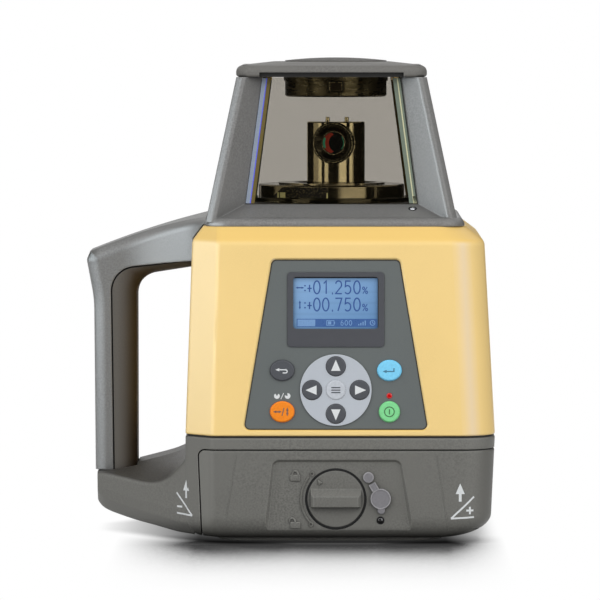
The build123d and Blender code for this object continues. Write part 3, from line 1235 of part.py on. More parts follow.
PIECES = {
    "base_plate": base_plate.part,
    "tripod_insert": tripod_insert.part,
    "feet": feet.part,
    "base_case": base_case.part,
    "main_case": main_case.part,
    "case_gasket": case_gasket.part,
    "top_frame": top_frame.part,
    "window_front": window_at(0),
    "window_right": window_at(90),
    "window_back": window_at(180),
    "window_left": window_at(270),
    "lid": lid.part,
    "receiver_ring": receiver_ring.part,
    "turret_cover": turret_cover.part,
    "handle_shell": handle_shell.part,
    "handle_cover": handle_cover.part,
    "chassis": chassis.part,
    "gimbal_ring": gimbal_ring.part,
    "projector_barrel": projector_barrel.part,
    "laser_module": laser_module.part,
    "collimator": collimator.part,
    "tilt_sensors": tilt_sensors.part,
    "rotor_bearings": rotor_bearings.part,
    "rotor_motor": rotor_motor.part,
    "rotor_head": rotor_head.part.rotate(Axis.Z, ROTOR_TURN),
    "lens_bezel": lens_bezel.part.rotate(Axis.Z, ROTOR_TURN),
    "exit_lens": exit_lens.part.rotate(Axis.Z, ROTOR_TURN),
    "pentaprism": pentaprism.part.rotate(Axis.Z, ROTOR_TURN),
    "level_screw_right": level_screw_at(LEVEL_X, 0),
    "level_screw_back": level_screw_at(0, LEVEL_X),
    "level_nut_right": nut_at_right.part,
    "level_nut_back": nut_at_right.part.rotate(Axis.Z, 90),
    "level_motors": level_motors.part,
    "panel_plate": panel_plate.part,
    "lcd_bezel": lcd_bezel.part,
    "lcd_module": lcd_module.part,
    "nav_ring": nav_ring.part,
    "keypad_mat": keypad_mat.part,
    "power_led": power_led.part,
    "main_board": main_board.part,
    "battery_door": battery_door.part,
    "battery_tray": battery_tray.part,
    "battery_cells": battery_cells.part,
    "battery_contacts": battery_contacts.part,
    "lock_knob": lock_knob.part,
    "latch_cam": latch_cam.part,
    "charge_jack": charge_jack.part,
    "charge_lamp": charge_lamp.part,
    "flap_pin": flap_pin.part,
    "charge_flap": charge_flap.part,
    "case_screws": case_screws.part,
}
for key_name in KEYS:
    PIECES[key_name] = key_cap(key_name)

os.makedirs("parts", exist_ok=True)
for piece_name, piece in PIECES.items():
    piece.label = piece_name
    export_step(piece, f"parts/{piece_name}.step")
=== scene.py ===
from math import atan2, cos, pi, radians, sin

import bmesh
import bpy
from mathutils import Matrix, Vector
from mathutils.bvhtree import BVHTree


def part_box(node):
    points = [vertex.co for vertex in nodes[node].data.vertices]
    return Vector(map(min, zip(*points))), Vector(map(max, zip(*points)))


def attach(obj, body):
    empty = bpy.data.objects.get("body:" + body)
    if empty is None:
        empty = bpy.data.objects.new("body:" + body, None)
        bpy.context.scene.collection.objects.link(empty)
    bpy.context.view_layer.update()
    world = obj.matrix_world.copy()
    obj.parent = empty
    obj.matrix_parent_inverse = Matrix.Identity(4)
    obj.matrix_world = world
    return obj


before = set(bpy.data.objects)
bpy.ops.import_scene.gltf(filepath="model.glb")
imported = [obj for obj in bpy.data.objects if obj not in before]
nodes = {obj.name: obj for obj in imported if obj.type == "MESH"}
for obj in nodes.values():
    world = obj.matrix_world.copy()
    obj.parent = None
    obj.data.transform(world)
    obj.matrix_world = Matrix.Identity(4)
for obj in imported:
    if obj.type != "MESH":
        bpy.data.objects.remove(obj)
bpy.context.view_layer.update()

# Driving sizes of the look, in millimetres, in the frame of the CAD model
MM = 0.001
SEAM_Z = 54.5
FRONT_Y = -83.0
FACE_LEAN = atan2(7.0, 98.1)
LCD_HALF = 21.6
LCD_LOW_Z = 108.0
LCD_HIGH_Z = 135.0
LCD_UP = 67.52
NAV_UP = 23.38
NAV_STEP = 12.0
KEY_X = 27.1
KEY_HIGH = 33.32
KEY_LOW = 12.41
KEY_RX = 6.0
KEY_RY = 5.1
NAV_KEY_R = 4.88
KNOB_Z = 22.6
KNOB_R = 14.6
HEAD_X = -2.2
FLOOR_Z = 170.6
LID_Z = 235.6
LID_HALF = 48.9
EAVE_H = 2.4
EAVE_DEPTH = 3.0
EAVE_HALF = 36.9
PANE_HALF_LOW = 48.5
PANE_HALF_HIGH = 39.9
RING_R = 26.4
LENS_Z = 201.1
LENS_RING_R = 10.8
BEZEL_FRONT_Y = -16.1
LENS_FRONT_Y = -13.5
ROTOR_TURN = -5.4

# How far marks stand proud and reach into what carries them, and the radius that closes a turned end
INK = 0.06
LCD_INK = 0.04
SLOPE_INK = 0.08
CROSS_INK = 0.02
EMBOSS = 0.6
INK_SINK = 0.05
CORE = 0.01

# Levels of the panel parts, measured outwards from the leaning front
PANEL_OUT = -0.8
KEY_OUT = 0.4
LCD_OUT = -1.8
NAV_OUT = -0.1

# Camera, fitted to the photo's frame of 600 by 600
CAMERA_PLACE = (0.0, -2.4961, 0.2646)
CAMERA_TARGET = (0.0, 0.0, 0.125)
CAMERA_LENS = 287.25
CAMERA_SHIFT = (-0.0597, -0.02)


# Shader building: the spans of a noise, of the normals' agreement at an edge and of open sky
WHITE = (1.0, 1.0, 1.0, 1.0)
NOISE_SPAN = (0.3, 0.7)
EDGE_SPAN = (0.985, 0.86)
SKY_SPAN = (0.35, 0.95)


def srgb(red, green, blue):
    """The linear colour for one given as on screen, 0 to 255."""
    def linear(value):
        value /= 255
        if value <= 0.04045:
            return value / 12.92
        return ((value + 0.055) / 1.055) ** 2.4
    return (linear(red), linear(green), linear(blue), 1.0)


def shade(colour, factor):
    """A colour made lighter or darker by a factor."""
    return tuple(min(1.0, part * factor) for part in colour[:3]) + (1.0,)


class Skin:
    """A material with short ways to add nodes in front of its main shader."""

    def __init__(self, name, **values):
        self.material = bpy.data.materials.new(name)
        self.material.use_nodes = True
        self.tree = self.material.node_tree
        self.shader = self.tree.nodes["Principled BSDF"]
        self.place = self.add("TexCoord")["Object"]
        for socket, value in values.items():
            self.feed(socket.replace("_", " "), value)

    def add(self, kind, inputs=None, **settings):
        node = self.tree.nodes.new("ShaderNode" + kind)
        for key, value in settings.items():
            setattr(node, key, value)
        for socket, value in (inputs or {}).items():
            self.connect(node.inputs[socket], value)
        return node.outputs

    def connect(self, socket, value):
        if isinstance(value, bpy.types.NodeSocket):
            self.tree.links.new(value, socket)
        else:
            socket.default_value = value

    def feed(self, socket, value):
        self.connect(self.shader.inputs[socket], value)

    def paint(self, colour):
        self.feed("Base Color", colour)

    def noise(self, scale, detail=2.0, stretch=None):
        vector = self.place
        if stretch:
            vector = self.add("Mapping", {"Vector": vector, "Scale": stretch})[0]
        return self.add("TexNoise", {"Vector": vector, "Scale": scale, "Detail": detail})["Fac"]

    def between(self, value, low, high, to_low=0.0, to_high=1.0):
        levels = {"Value": value, "From Min": low, "From Max": high, "To Min": to_low, "To Max": to_high}
        return self.add("MapRange", levels)[0]

    def math(self, operation, first, second=0.5):
        return self.add("Math", {0: first, 1: second}, operation=operation)[0]

    def mix(self, factor, first, second, blend="MIX"):
        return self.add("Mix", {0: factor, 6: first, 7: second}, data_type="RGBA", blend_type=blend)[2]

    def split(self, vector):
        return self.add("SeparateXYZ", {0: vector})

    def bricks(self, first, second, mortar, gap, width, height, **settings):
        """Small rectangles with lines between them, sizes in millimetres."""
        inputs = {"Vector": self.place, "Scale": 1.0, "Color1": first, "Color2": second, "Mortar": mortar,
                  "Mortar Size": gap * MM, "Brick Width": width * MM, "Row Height": height * MM}
        return self.add("TexBrick", inputs, **settings)

    def soft_edges(self, radius):
        """The normal rounded over near edges, and how far it leaves the flat one, 0 to 1."""
        rounded = self.add("Bevel", {"Radius": radius * MM}, samples=6)[0]
        flat = self.add("NewGeometry")["Normal"]
        dot = self.add("VectorMath", {0: rounded, 1: flat}, operation="DOT_PRODUCT")["Value"]
        return rounded, self.between(dot, *EDGE_SPAN)

    def painted_crevice_shade(self, reach, colour, darkest):
        """A colour with painted shade where something stands close, within the reach."""
        open_sky = self.add("AmbientOcclusion", {"Distance": reach * MM}, samples=8)["AO"]
        dim = self.between(open_sky, *SKY_SPAN, darkest, 1.0)
        return self.mix(1.0, colour, dim, "MULTIPLY")

    def inside(self, limits):
        """1 within all limits, else 0: spans of X, Y, Z in millimetres, or of the normal's NX, NY, NZ."""
        spot = self.split(self.place)
        facing = self.split(self.add("NewGeometry")["Normal"])
        share = 1.0
        for axis, start, end in limits:
            if axis[0] == "N":
                part = self.between(facing[axis[1]], start, end)
            else:
                part = self.between(spot[axis], start * MM, end * MM)
            share = self.math("MINIMUM", share, part)
        return share

    def with_painted_light_and_shade(self, colour, painted_light_and_shade):
        """A colour with patches of painted light and shade over it, each a tint and its limits."""
        for tint, limits in painted_light_and_shade:
            colour = self.mix(self.inside(limits), colour, tint)
        return colour

    def roughen(self, noise, low, high):
        self.feed("Roughness", self.between(noise, *NOISE_SPAN, low, high))

    def bump(self, height, depth, strength, normal=None):
        inputs = {"Height": height, "Distance": depth * MM, "Strength": strength}
        if normal:
            inputs["Normal"] = normal
        self.feed("Normal", self.add("Bump", inputs)[0])

    def show(self, factor, first, second):
        """Shows a mix of two shaders instead of the main one."""
        both = self.add("MixShader", {0: factor, 1: first, 2: second})[0]
        self.connect(self.tree.nodes["Material Output"].inputs["Surface"], both)


def moulded(name, colour, rough, speck=0.03, grain=0.01, grain_size=0.5, wear_and_highlight=0.3, edge=0.4,
            crevice=0.6, reach=6.0, painted_light_and_shade=(), gloss=0.42):
    """Moulded plastic: spark-eroded pits, a cloudy tone, paler edges of wear and painted highlight, painted
    crevice shade, patches of painted light and shade.
    """
    skin = Skin(name, Specular_IOR_Level=gloss)
    pits = skin.noise(1000 / grain_size, 3.0)
    clouds = skin.noise(22.0, 3.0)
    normal, near_edge = skin.soft_edges(edge)
    speckled = skin.between(pits, 0.36, 0.64)
    grainy = skin.mix(speckled, shade(colour, 1 - speck), shade(colour, 1 + speck))
    toned = skin.mix(skin.between(clouds, *NOISE_SPAN), grainy, shade(colour, 1.05))
    toned = skin.with_painted_light_and_shade(toned, painted_light_and_shade)
    # Paler edges: partly wear, partly painted highlight
    worn_and_highlit = skin.mix(skin.math("MULTIPLY", near_edge, wear_and_highlight), toned, shade(colour, 1.9))
    # Painted shade where other surfaces stand close
    skin.paint(skin.painted_crevice_shade(reach, worn_and_highlit, crevice))
    skin.roughen(pits, rough - 0.07, rough + 0.07)
    skin.bump(pits, grain, 0.6, normal)
    return skin.material


def rubber(name, colour, rough=0.5, sheen=0.15):
    """Silicone or rubber: dull with a faint bloom, and slightly lighter edges that are a painted highlight.
    """
    skin = Skin(name, Specular_IOR_Level=0.35, Sheen_Weight=sheen)
    dust = skin.noise(900.0)
    normal, near_edge = skin.soft_edges(0.5)
    toned = skin.mix(skin.between(dust, 0.35, 0.7), shade(colour, 0.95), shade(colour, 1.06))
    # Lighter edges: painted highlight
    skin.paint(skin.mix(skin.math("MULTIPLY", near_edge, 0.6), toned, shade(colour, 1.6)))
    skin.roughen(dust, rough - 0.06, rough + 0.06)
    skin.bump(dust, 0.02, 0.5, normal)
    return skin.material


def metal(name, colour, rough, stretch=None):
    """Turned or drawn metal with fine tool lines and a slight change of tone."""
    skin = Skin(name, Metallic=1.0)
    lines = skin.noise(600.0, 2.0, stretch)
    clouds = skin.noise(60.0)
    normal, _ = skin.soft_edges(0.3)
    skin.paint(skin.mix(clouds, shade(colour, 0.85), shade(colour, 1.12)))
    skin.roughen(lines, rough * 0.8, rough * 1.25)
    skin.bump(lines, 0.006, 0.5, normal)
    return skin.material


def ink(name, colour, rough=0.5):
    """Screen-printed ink, a little uneven."""
    skin = Skin(name, Specular_IOR_Level=0.3)
    blotch = skin.noise(1500.0)
    skin.paint(skin.mix(blotch, shade(colour, 0.88), shade(colour, 1.08)))
    skin.roughen(blotch, rough - 0.1, rough + 0.1)
    return skin.material


PANE_TINT = (1.0, 0.983, 0.953, 1.0)
PANE_BODY = 0.252


def tinted_pane(name):
    """Warm grey filter glass, partly see-through, with a faint uneven coating."""
    skin = Skin(name, Roughness=0.02, IOR=1.5, Specular_IOR_Level=0.25)
    haze = skin.noise(30.0)
    skin.paint(skin.mix(haze, srgb(12, 10, 6), srgb(17, 15, 9)))
    clear = skin.add("BsdfTransparent", {"Color": PANE_TINT})[0]
    skin.show(PANE_BODY, clear, skin.shader.outputs[0])
    return skin.material


def display(name):
    """Blue dot-matrix display: lighter towards its upper left, with a fine grid of dots."""
    skin = Skin(name, Roughness=0.22, Specular_IOR_Level=0.4, Emission_Strength=0.12)
    spot = skin.split(skin.place)
    across = skin.between(spot["X"], -LCD_HALF * MM, LCD_HALF * MM)
    up = skin.between(spot["Z"], LCD_LOW_Z * MM, LCD_HIGH_Z * MM)
    light = skin.math("SUBTRACT", up, skin.math("MULTIPLY", across, 0.8))
    tone = skin.mix(skin.between(light, -0.8, 1.0), srgb(96, 136, 180), srgb(136, 172, 212))
    # Painted shade along the display's recessed edges
    tone = skin.painted_crevice_shade(5.0, tone, 0.45)
    dots = skin.bricks(WHITE, WHITE, (0.8, 0.8, 0.8, 1), 0.05, 0.4, 0.4, offset=0.0)
    skin.paint(skin.mix(0.35, tone, dots["Color"], "MULTIPLY"))
    skin.feed("Emission Color", tone)
    return skin.material


def black_mirror(name, colour, rough=0.10, lines=0.004, painted_light_and_shade=()):
    """Black-nickel finish of the optics: dark, golden in its reflections, with turning lines."""
    skin = Skin(name, Metallic=1.0)
    turned = skin.noise(900.0, 1.0, (0.2, 0.2, 1.0))
    film = skin.noise(40.0)
    toned = skin.mix(film, shade(colour, 0.8), shade(colour, 1.15))
    skin.paint(skin.with_painted_light_and_shade(toned, painted_light_and_shade))
    skin.roughen(turned, rough * 0.7, rough * 1.4)
    if lines:
        normal, _ = skin.soft_edges(0.4)
        skin.bump(turned, lines, 0.5, normal)
    return skin.material


def crackle_coat(name):
    """Black crackle paint with small golden flecks that are painted glints."""
    skin = Skin(name, Roughness=0.5, Specular_IOR_Level=0.2)
    flecks = skin.noise(1100.0, 3.0)
    golden_glints = skin.between(flecks, 0.52, 0.66)
    skin.paint(skin.mix(golden_glints, srgb(8, 7, 5), srgb(96, 86, 56)))
    skin.bump(flecks, 0.25, 0.6)
    return skin.material


def coated_glass(name):
    """Front lens: nearly black glass; the red and green reflections of its coating at glancing angles are
    painted into its colour.
    """
    skin = Skin(name, Roughness=0.04, IOR=1.6, Coat_Weight=1.0, Coat_Roughness=0.02)
    facing = skin.add("LayerWeight", {"Blend": 0.35})["Facing"]
    smear = skin.noise(300.0)
    tint = skin.mix(skin.between(facing, 0.02, 0.35), srgb(18, 16, 20), srgb(120, 26, 18))
    smeared = skin.between(smear, 0.4, 0.8, 0.0, 0.15)
    skin.paint(skin.mix(smeared, tint, srgb(30, 70, 40)))
    return skin.material


def lamp_lens(name, colour, glow):
    """Coloured lens of a small lamp, glossy with faint streaks."""
    skin = Skin(name, Roughness=0.12, Coat_Weight=0.6, Emission_Strength=glow)
    streak = skin.noise(800.0)
    tint = skin.mix(streak, shade(colour, 0.7), shade(colour, 1.25))
    skin.paint(tint)
    skin.feed("Emission Color", tint)
    return skin.material


def circuit_board(name):
    """Green solder mask with a pattern of tracks."""
    skin = Skin(name, Roughness=0.35)
    tracks = skin.bricks(srgb(22, 82, 48), srgb(28, 96, 56), srgb(60, 130, 80), 0.2, 6.0, 2.1)
    skin.paint(tracks["Color"])
    skin.bump(tracks["Fac"], 0.05, 0.4)
    return skin.material


CELL_HALF = 31.0
BAND_STARTS = 22.0
BAND_WHOLE = 22.5


def cell_wrap(name):
    """Printed wrap of a battery cell: dark sleeve with a copper band at one end."""
    skin = Skin(name, Roughness=0.3, Metallic=0.4)
    along = skin.math("PINGPONG", skin.split(skin.place)["X"], CELL_HALF * MM)
    band = skin.between(along, BAND_STARTS * MM, BAND_WHOLE * MM)
    wrinkle = skin.noise(500.0, 2.0, (0.2, 1.0, 1.0))
    skin.paint(skin.mix(band, srgb(42, 44, 48), srgb(176, 120, 70)))
    skin.bump(wrinkle, 0.02, 0.4)
    return skin.material


# Patches of painted light and shade: a tint and where it lies
HOUSING = srgb(106, 105, 100)
# A lighter copy of the housing grey for the frame and the handle: painted light
LIT_UPPER_GREY = srgb(116, 115, 113)
TURRET_DARK = (0.05, 0.042, 0.024, 1.0)
TURRET_FOOT_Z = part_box("turret_cover")[0][2] / MM + 2.6
# Paler band on the yellow case's right-hand rounded corners: painted sheen
PAINTED_CORNER_SHEEN = (srgb(243, 216, 172), [("NX", 0.02, 0.30), ("NX", 0.58, 0.34)])
# Darker up-facing shoulder of the yellow case: painted shade
SHADED_SHOULDER = (srgb(244, 205, 122), [("NZ", 0.35, 0.65)])
# Darker foot of the turret, and its upward faces darkened as painted dark reflections
TURRET_FOOT = (TURRET_DARK, [("Z", TURRET_FOOT_Z + 0.2, TURRET_FOOT_Z)])
TURRET_TOP = (TURRET_DARK, [("NZ", 0.6, 0.9)])
# Darker towards the bottom of the base and the battery door: painted shade
LOW_SHADE = (srgb(46, 44, 40), [("Z", 9.0, 0.0)])
ARM_SHADE = (srgb(66, 64, 60), [("NZ", 0.35, 0.75), ("X", -72.0, -78.0)])
# Lighter left corner and darker right corner of the battery door: painted light and shade
DOOR_CORNER_LIGHT = (shade(HOUSING, 1.3), [("X", -61.0, -65.0)])
DOOR_CORNER_SHADE = (shade(HOUSING, 0.82), [("X", 70.0, 80.0)])
# Browner, darker inner side of the grip: painted shade
GRIP_SHADE = (srgb(52, 38, 20), [("X", -113.5, -104.0), ("Z", 141.0, 133.5)])
# Darker top faces and top corner of the handle shell: painted shade
SHELL_TOP_SHADE = (srgb(82, 81, 78), [("NZ", 0.75, 0.95)])
SHELL_CORNER_SHADE = (srgb(72, 71, 68), [("X", -122.5, -126.5), ("Z", 138.0, 143.0)])
CAP_SHADE = (srgb(66, 64, 60), [("Z", 243.25, 243.4)])

# Grain, paler edges of wear and painted highlight, and painted crevice shade of the mouldings that aren't
# nearly smooth
COARSE = dict(speck=0.20, grain=0.06, grain_size=0.9, wear_and_highlight=0.75, edge=1.0)
COARSE_OPEN = dict(COARSE, crevice=0.4, reach=12.0)
COARSE_WORN_AND_HIGHLIT = dict(COARSE_OPEN, wear_and_highlight=0.9, edge=0.8, crevice=0.3, reach=9.0)
SOFT = dict(speck=0.15, grain=0.05, grain_size=0.8)
RUBBERS = {
    "key_dark": (74, 76, 81),
    "key_light": (196, 200, 206),
    "key_blue": (128, 212, 248),
    "key_orange": (250, 138, 8),
    "key_green": (131, 220, 148),
    "flap_grey": (127, 125, 128),
}


def plain_name(material):
    """A material's name without its running number."""
    return material.name.split(".")[0]


slot_looks = [rubber(name, srgb(*colour)) for name, colour in RUBBERS.items()] + [
    moulded("case_yellow", srgb(247, 213, 141), 0.36, speck=0.02, grain=0.012, wear_and_highlight=0.25, edge=0.8,
            crevice=0.75, painted_light_and_shade=[PAINTED_CORNER_SHEEN, SHADED_SHOULDER], gloss=0.22),
    moulded("housing_grey", HOUSING, 0.48, **COARSE),
    moulded("cover_grey", srgb(90, 86, 80), 0.58, wear_and_highlight=0.25, edge=0.6, **SOFT),
    moulded("panel_grey", srgb(95, 100, 99), 0.55, speck=0.05, grain=0.02),
    moulded("bezel_grey", srgb(70, 71, 76), 0.42),
    moulded("plate_silver", srgb(186, 191, 198), 0.40, speck=0.02, grain_size=0.4, wear_and_highlight=0.4),
    moulded("nut_white", srgb(214, 212, 202), 0.4, grain=0.02, wear_and_highlight=0.2, edge=0.3),
    moulded("tray_black", srgb(36, 36, 38), 0.5, speck=0.08, grain=0.03, grain_size=0.6, edge=0.5),
    rubber("seal_black", srgb(22, 21, 20), 0.6),
    tinted_pane("window_glass"),
    black_mirror("optic_black", (0.46, 0.385, 0.21, 1.0)),
    coated_glass("lens_glass"),
    display("display_blue"),
    lamp_lens("lamp_red", srgb(196, 10, 10), 0.15),
    metal("thread_brass", (0.62, 0.45, 0.20, 1.0), 0.28),
    metal("gimbal_alloy", (0.55, 0.56, 0.58, 1.0), 0.38),
    metal("drive_steel", (0.50, 0.51, 0.53, 1.0), 0.22, (1.0, 1.0, 6.0)),
    metal("motor_can", (0.40, 0.41, 0.42, 1.0), 0.32),
    circuit_board("board_green"),
    cell_wrap("cell_can"),
]
looks = {plain_name(look): look for look in slot_looks}
for node in nodes.values():
    for slot in node.material_slots:
        slot.material = looks[plain_name(slot.material)]

# Pieces with a look of their own
own_looks = {
    "charge_lamp": lamp_lens("lamp_dark", srgb(16, 15, 15), 0.0),
    "receiver_ring": black_mirror("ring_brown", (0.095, 0.078, 0.040, 1.0), 0.30, lines=0.0),
    "turret_cover": black_mirror("turret_brown", (0.26, 0.216, 0.12, 1.0), 0.13, lines=0.002,
                                 painted_light_and_shade=[TURRET_FOOT, TURRET_TOP]),
    "lens_bezel": black_mirror("lens_black", (0.08, 0.068, 0.04, 1.0), 0.2),
    # The base in a lighter copy of the housing grey: painted light
    "base_case": moulded("base_grey", shade(HOUSING, 1.08), 0.48, crevice=0.55, reach=12.0,
                         painted_light_and_shade=[LOW_SHADE, ARM_SHADE], **COARSE),
    "battery_door": moulded("door_grey", HOUSING, 0.48, painted_light_and_shade=[DOOR_CORNER_LIGHT, DOOR_CORNER_SHADE, LOW_SHADE], **COARSE),
    "lock_knob": moulded("knob_grey", HOUSING, 0.45, **COARSE_WORN_AND_HIGHLIT),
    "handle_cover": moulded("grip_grey", srgb(92, 88, 82), 0.58, wear_and_highlight=0.5, edge=0.7,
                            painted_light_and_shade=[GRIP_SHADE], **SOFT),
    "top_frame": moulded("frame_grey", LIT_UPPER_GREY, 0.40, **COARSE_OPEN),
    "handle_shell": moulded("shell_grey", LIT_UPPER_GREY, 0.40, painted_light_and_shade=[SHELL_TOP_SHADE, SHELL_CORNER_SHADE], **COARSE_OPEN),
    # The lid in a lighter copy of the housing grey: painted light
    "lid": moulded("lid_grey", srgb(113, 111, 107), 0.5, painted_light_and_shade=[CAP_SHADE], gloss=0.15, **COARSE_OPEN),
}
for name, look in own_looks.items():
    nodes[name].material_slots[0].material = look

white_ink = ink("white_ink", srgb(226, 228, 228))
lcd_ink = ink("lcd_ink", srgb(56, 88, 152), 0.35)
bar_ink = ink("bar_ink", srgb(66, 102, 160), 0.35)
lcd_light = ink("lcd_light", srgb(122, 160, 206), 0.35)


# Drawing: marks are laid out flat in millimetres, then put on a surface as thin meshes

def arc(cx, cy, rx, ry, start, end, count=14):
    """Points along part of an ellipse, between two angles in degrees."""
    steps = [radians(start + (end - start) * k / count) for k in range(count + 1)]
    return [(cx + rx * cos(a), cy + ry * sin(a)) for a in steps]


def rectangle(x0, y0, x1, y1):
    return [(x0, y0), (x1, y0), (x1, y1), (x0, y1)]


ARROW_HEAD = ((0.62, 0.0), (-0.42, 0.44), (-0.42, -0.44))


class Sign:
    """A drawing made of flat shapes, each a closed outline."""

    def __init__(self):
        self.outlines = []

    def polygon(self, points):
        self.outlines.append(list(points))
        return self

    def disc(self, x, y, radius, start=0, end=360):
        rim = arc(x, y, radius, radius, start, end, 24)
        if abs(end - start) < 360:
            return self.polygon([(x, y)] + rim)
        return self.polygon(rim[:-1])

    def ribbon(self, points, width, closed=False):
        """A line of even width with mitred corners."""
        rails = []
        count = len(points)
        for k, point in enumerate(points):
            here = Vector(point)
            before = Vector(points[k - 1]) if k or closed else None
            after = Vector(points[(k + 1) % count]) if k < count - 1 or closed else None
            ins = (here - before).normalized() if before else (after - here).normalized()
            outs = (after - here).normalized() if after else ins
            along = (ins + outs).normalized()
            across = Vector((-along.y, along.x))
            reach = width / 2 / max(0.5, along.dot(ins))
            rails.append((here + across * reach, here - across * reach))
        last = count if closed else count - 1
        for k in range(last):
            (a, b), (c, d) = rails[k], rails[(k + 1) % count]
            self.polygon([tuple(a), tuple(b), tuple(d), tuple(c)])
        return self

    def bar(self, x0, y0, x1, y1, width, step=None):
        """A straight line; a step divides it, so that it can follow a curved surface."""
        start, end = Vector((x0, y0)), Vector((x1, y1))
        parts = max(1, int((end - start).length / step)) if step else 1
        return self.ribbon([start.lerp(end, k / parts) for k in range(parts + 1)], width)

    def box(self, x0, y0, x1, y1):
        return self.polygon(rectangle(x0, y0, x1, y1))

    def border(self, x0, y0, x1, y1, width):
        return self.ribbon(rectangle(x0, y0, x1, y1), width, closed=True)

    def ring(self, x, y, radius, width):
        return self.ribbon(arc(x, y, radius, radius, 0, 360, 28)[:-1], width, closed=True)

    def arrow(self, x, y, angle, size):
        """A filled triangle that points along an angle."""
        dx, dy = size * cos(radians(angle)), size * sin(radians(angle))
        return self.polygon([(x + u * dx - v * dy, y + u * dy + v * dx) for u, v in ARROW_HEAD])

    def digit(self, figure, x, y, width, height, stroke):
        """One plain figure or sign of the display, drawn with a pen."""
        for points, closed in FIGURES[figure]:
            self.ribbon([(x + (u - 0.5) * width, y + (v - 0.5) * height) for u, v in points], stroke, closed)
        return self


def oval(cx, cy, rx, ry, count):
    """A closed stroke of a figure."""
    return arc(cx, cy, rx, ry, 0, 360, count)[:-1], True


# Strokes of the figures in a square of 1 by 1: the points, and whether the stroke is closed
FIGURES = {
    "0": [oval(0.5, 0.5, 0.42, 0.47, 20)],
    "1": [([(0.24, 0.78), (0.56, 0.97), (0.56, 0.03)], False)],
    "2": [(arc(0.5, 0.70, 0.40, 0.27, 165, -35, 12) + [(0.10, 0.04), (0.94, 0.04)], False)],
    "5": [([(0.86, 0.96), (0.22, 0.96), (0.15, 0.55)] + arc(0.46, 0.33, 0.42, 0.30, 125, -140, 12), False)],
    "6": [oval(0.5, 0.30, 0.40, 0.27, 16), (arc(0.75, 0.32, 0.65, 0.65, 180, 100, 8), False)],
    "7": [([(0.08, 0.96), (0.92, 0.96), (0.42, 0.03)], False)],
    "+": [([(0.0, 0.42), (1.0, 0.42)], False), ([(0.5, 0.15), (0.5, 0.69)], False)],
    ".": [([(0.4, 0.03), (0.6, 0.03)], False)],
    "%": [oval(0.22, 0.78, 0.18, 0.18, 10), oval(0.78, 0.22, 0.18, 0.18, 10),
          ([(0.1, 0.05), (0.9, 0.95)], False)],
}


def on_face(out, x0=0.0, up0=0.0):
    """A place on the leaning front, at a level out from it."""
    def place(x, up):
        u = up + up0
        y = FRONT_Y + u * sin(FACE_LEAN) - out * cos(FACE_LEAN)
        z = SEAM_Z + u * cos(FACE_LEAN) + out * sin(FACE_LEAN)
        return Vector((x + x0, y, z)), Vector((0.0, -cos(FACE_LEAN), sin(FACE_LEAN)))
    return place


def upright(y, z0, turn=0.0):
    """A place on a plane that faces the front, turned about the vertical through the origin."""
    spin = Matrix.Rotation(radians(turn), 3, "Z")

    def place(x, v):
        return spin @ Vector((x, y, z0 + v)), spin @ Vector((0, -1.0, 0))
    return place


LOOK_FROM = 60


def draped(names, centre, facing=0.0, tilt=0.0):
    """A place on CAD surfaces, found by looking at them from outside."""
    solids = []
    for name in names:
        mesh = nodes[name].data
        spots = [vertex.co for vertex in mesh.vertices]
        solids.append(BVHTree.FromPolygons(spots, [face.vertices[:] for face in mesh.polygons]))
    turn = radians(facing)
    lean = radians(tilt)
    across = Vector((cos(turn), sin(turn), 0.0))
    outward = Vector((sin(turn) * cos(lean), -cos(turn) * cos(lean), sin(lean)))
    up = outward.cross(across)

    def place(x, v):
        flat = Vector(centre) + across * x + up * v
        hits = [tree.ray_cast((flat + outward * LOOK_FROM) * MM, -outward) for tree in solids]
        hits = [hit for hit in hits if hit[0] is not None]
        if not hits:
            return flat, outward
        near = min(hits, key=lambda hit: hit[3])
        return near[0] / MM, near[1]
    return place


def placed(name, data):
    """A new object in the scene."""
    thing = bpy.data.objects.new(name, data)
    bpy.context.scene.collection.objects.link(thing)
    return thing


def make(name, points, faces, material, body, slot, smooth=False):
    """A mesh piece from points in millimetres, riding on a body."""
    mesh = bpy.data.meshes.new(name)
    mesh.from_pydata([Vector(p) * MM for p in points], [], faces)
    mesh.validate()
    mesh.materials.append(material)
    piece = placed(name, mesh)
    for face in mesh.polygons:
        face.use_smooth = smooth
    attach(piece, body)
    return piece


def stamp(name, sign, place, body, material, slot, rise=INK):
    """Puts a drawing on a surface as a mesh that stands proud by the rise."""
    points = []
    faces = []
    for outline in sign.outlines:
        laid = [place(x, y) for x, y in outline]
        first = len(points)
        count = len(laid)
        points += [p + n * rise for p, n in laid]
        points += [p - n * INK_SINK for p, n in laid]
        faces.append(tuple(range(first, first + count)))
        for k in range(count):
            m = (k + 1) % count
            faces.append((first + k, first + count + k, first + count + m, first + m))
    piece = make(name, points, faces, material, body, slot)
    shape = bmesh.new()
    shape.from_mesh(piece.data)
    bmesh.ops.recalc_face_normals(shape, faces=shape.faces)
    shape.to_mesh(piece.data)
    shape.free()


SHARP_TURN = 35


def turned(name, profile, centre, axis, material, body, slot, count=64):
    """A piece turned from a closed profile of radius and height."""
    axis = Vector(axis).normalized()
    side = axis.orthogonal().normalized()
    other = axis.cross(side)
    points = []
    faces = []
    size = len(profile)
    for k in range(count):
        angle = 2 * pi * k / count
        ray = side * cos(angle) + other * sin(angle)
        points += [Vector(centre) + ray * r + axis * h for r, h in profile]
    for k in range(count):
        m = (k + 1) % count
        for j in range(size):
            i = (j + 1) % size
            faces.append((k * size + j, k * size + i, m * size + i, m * size + j))
    piece = make(name, points, faces, material, body, slot, smooth=True)
    piece.data.set_sharp_from_angle(angle=radians(SHARP_TURN))


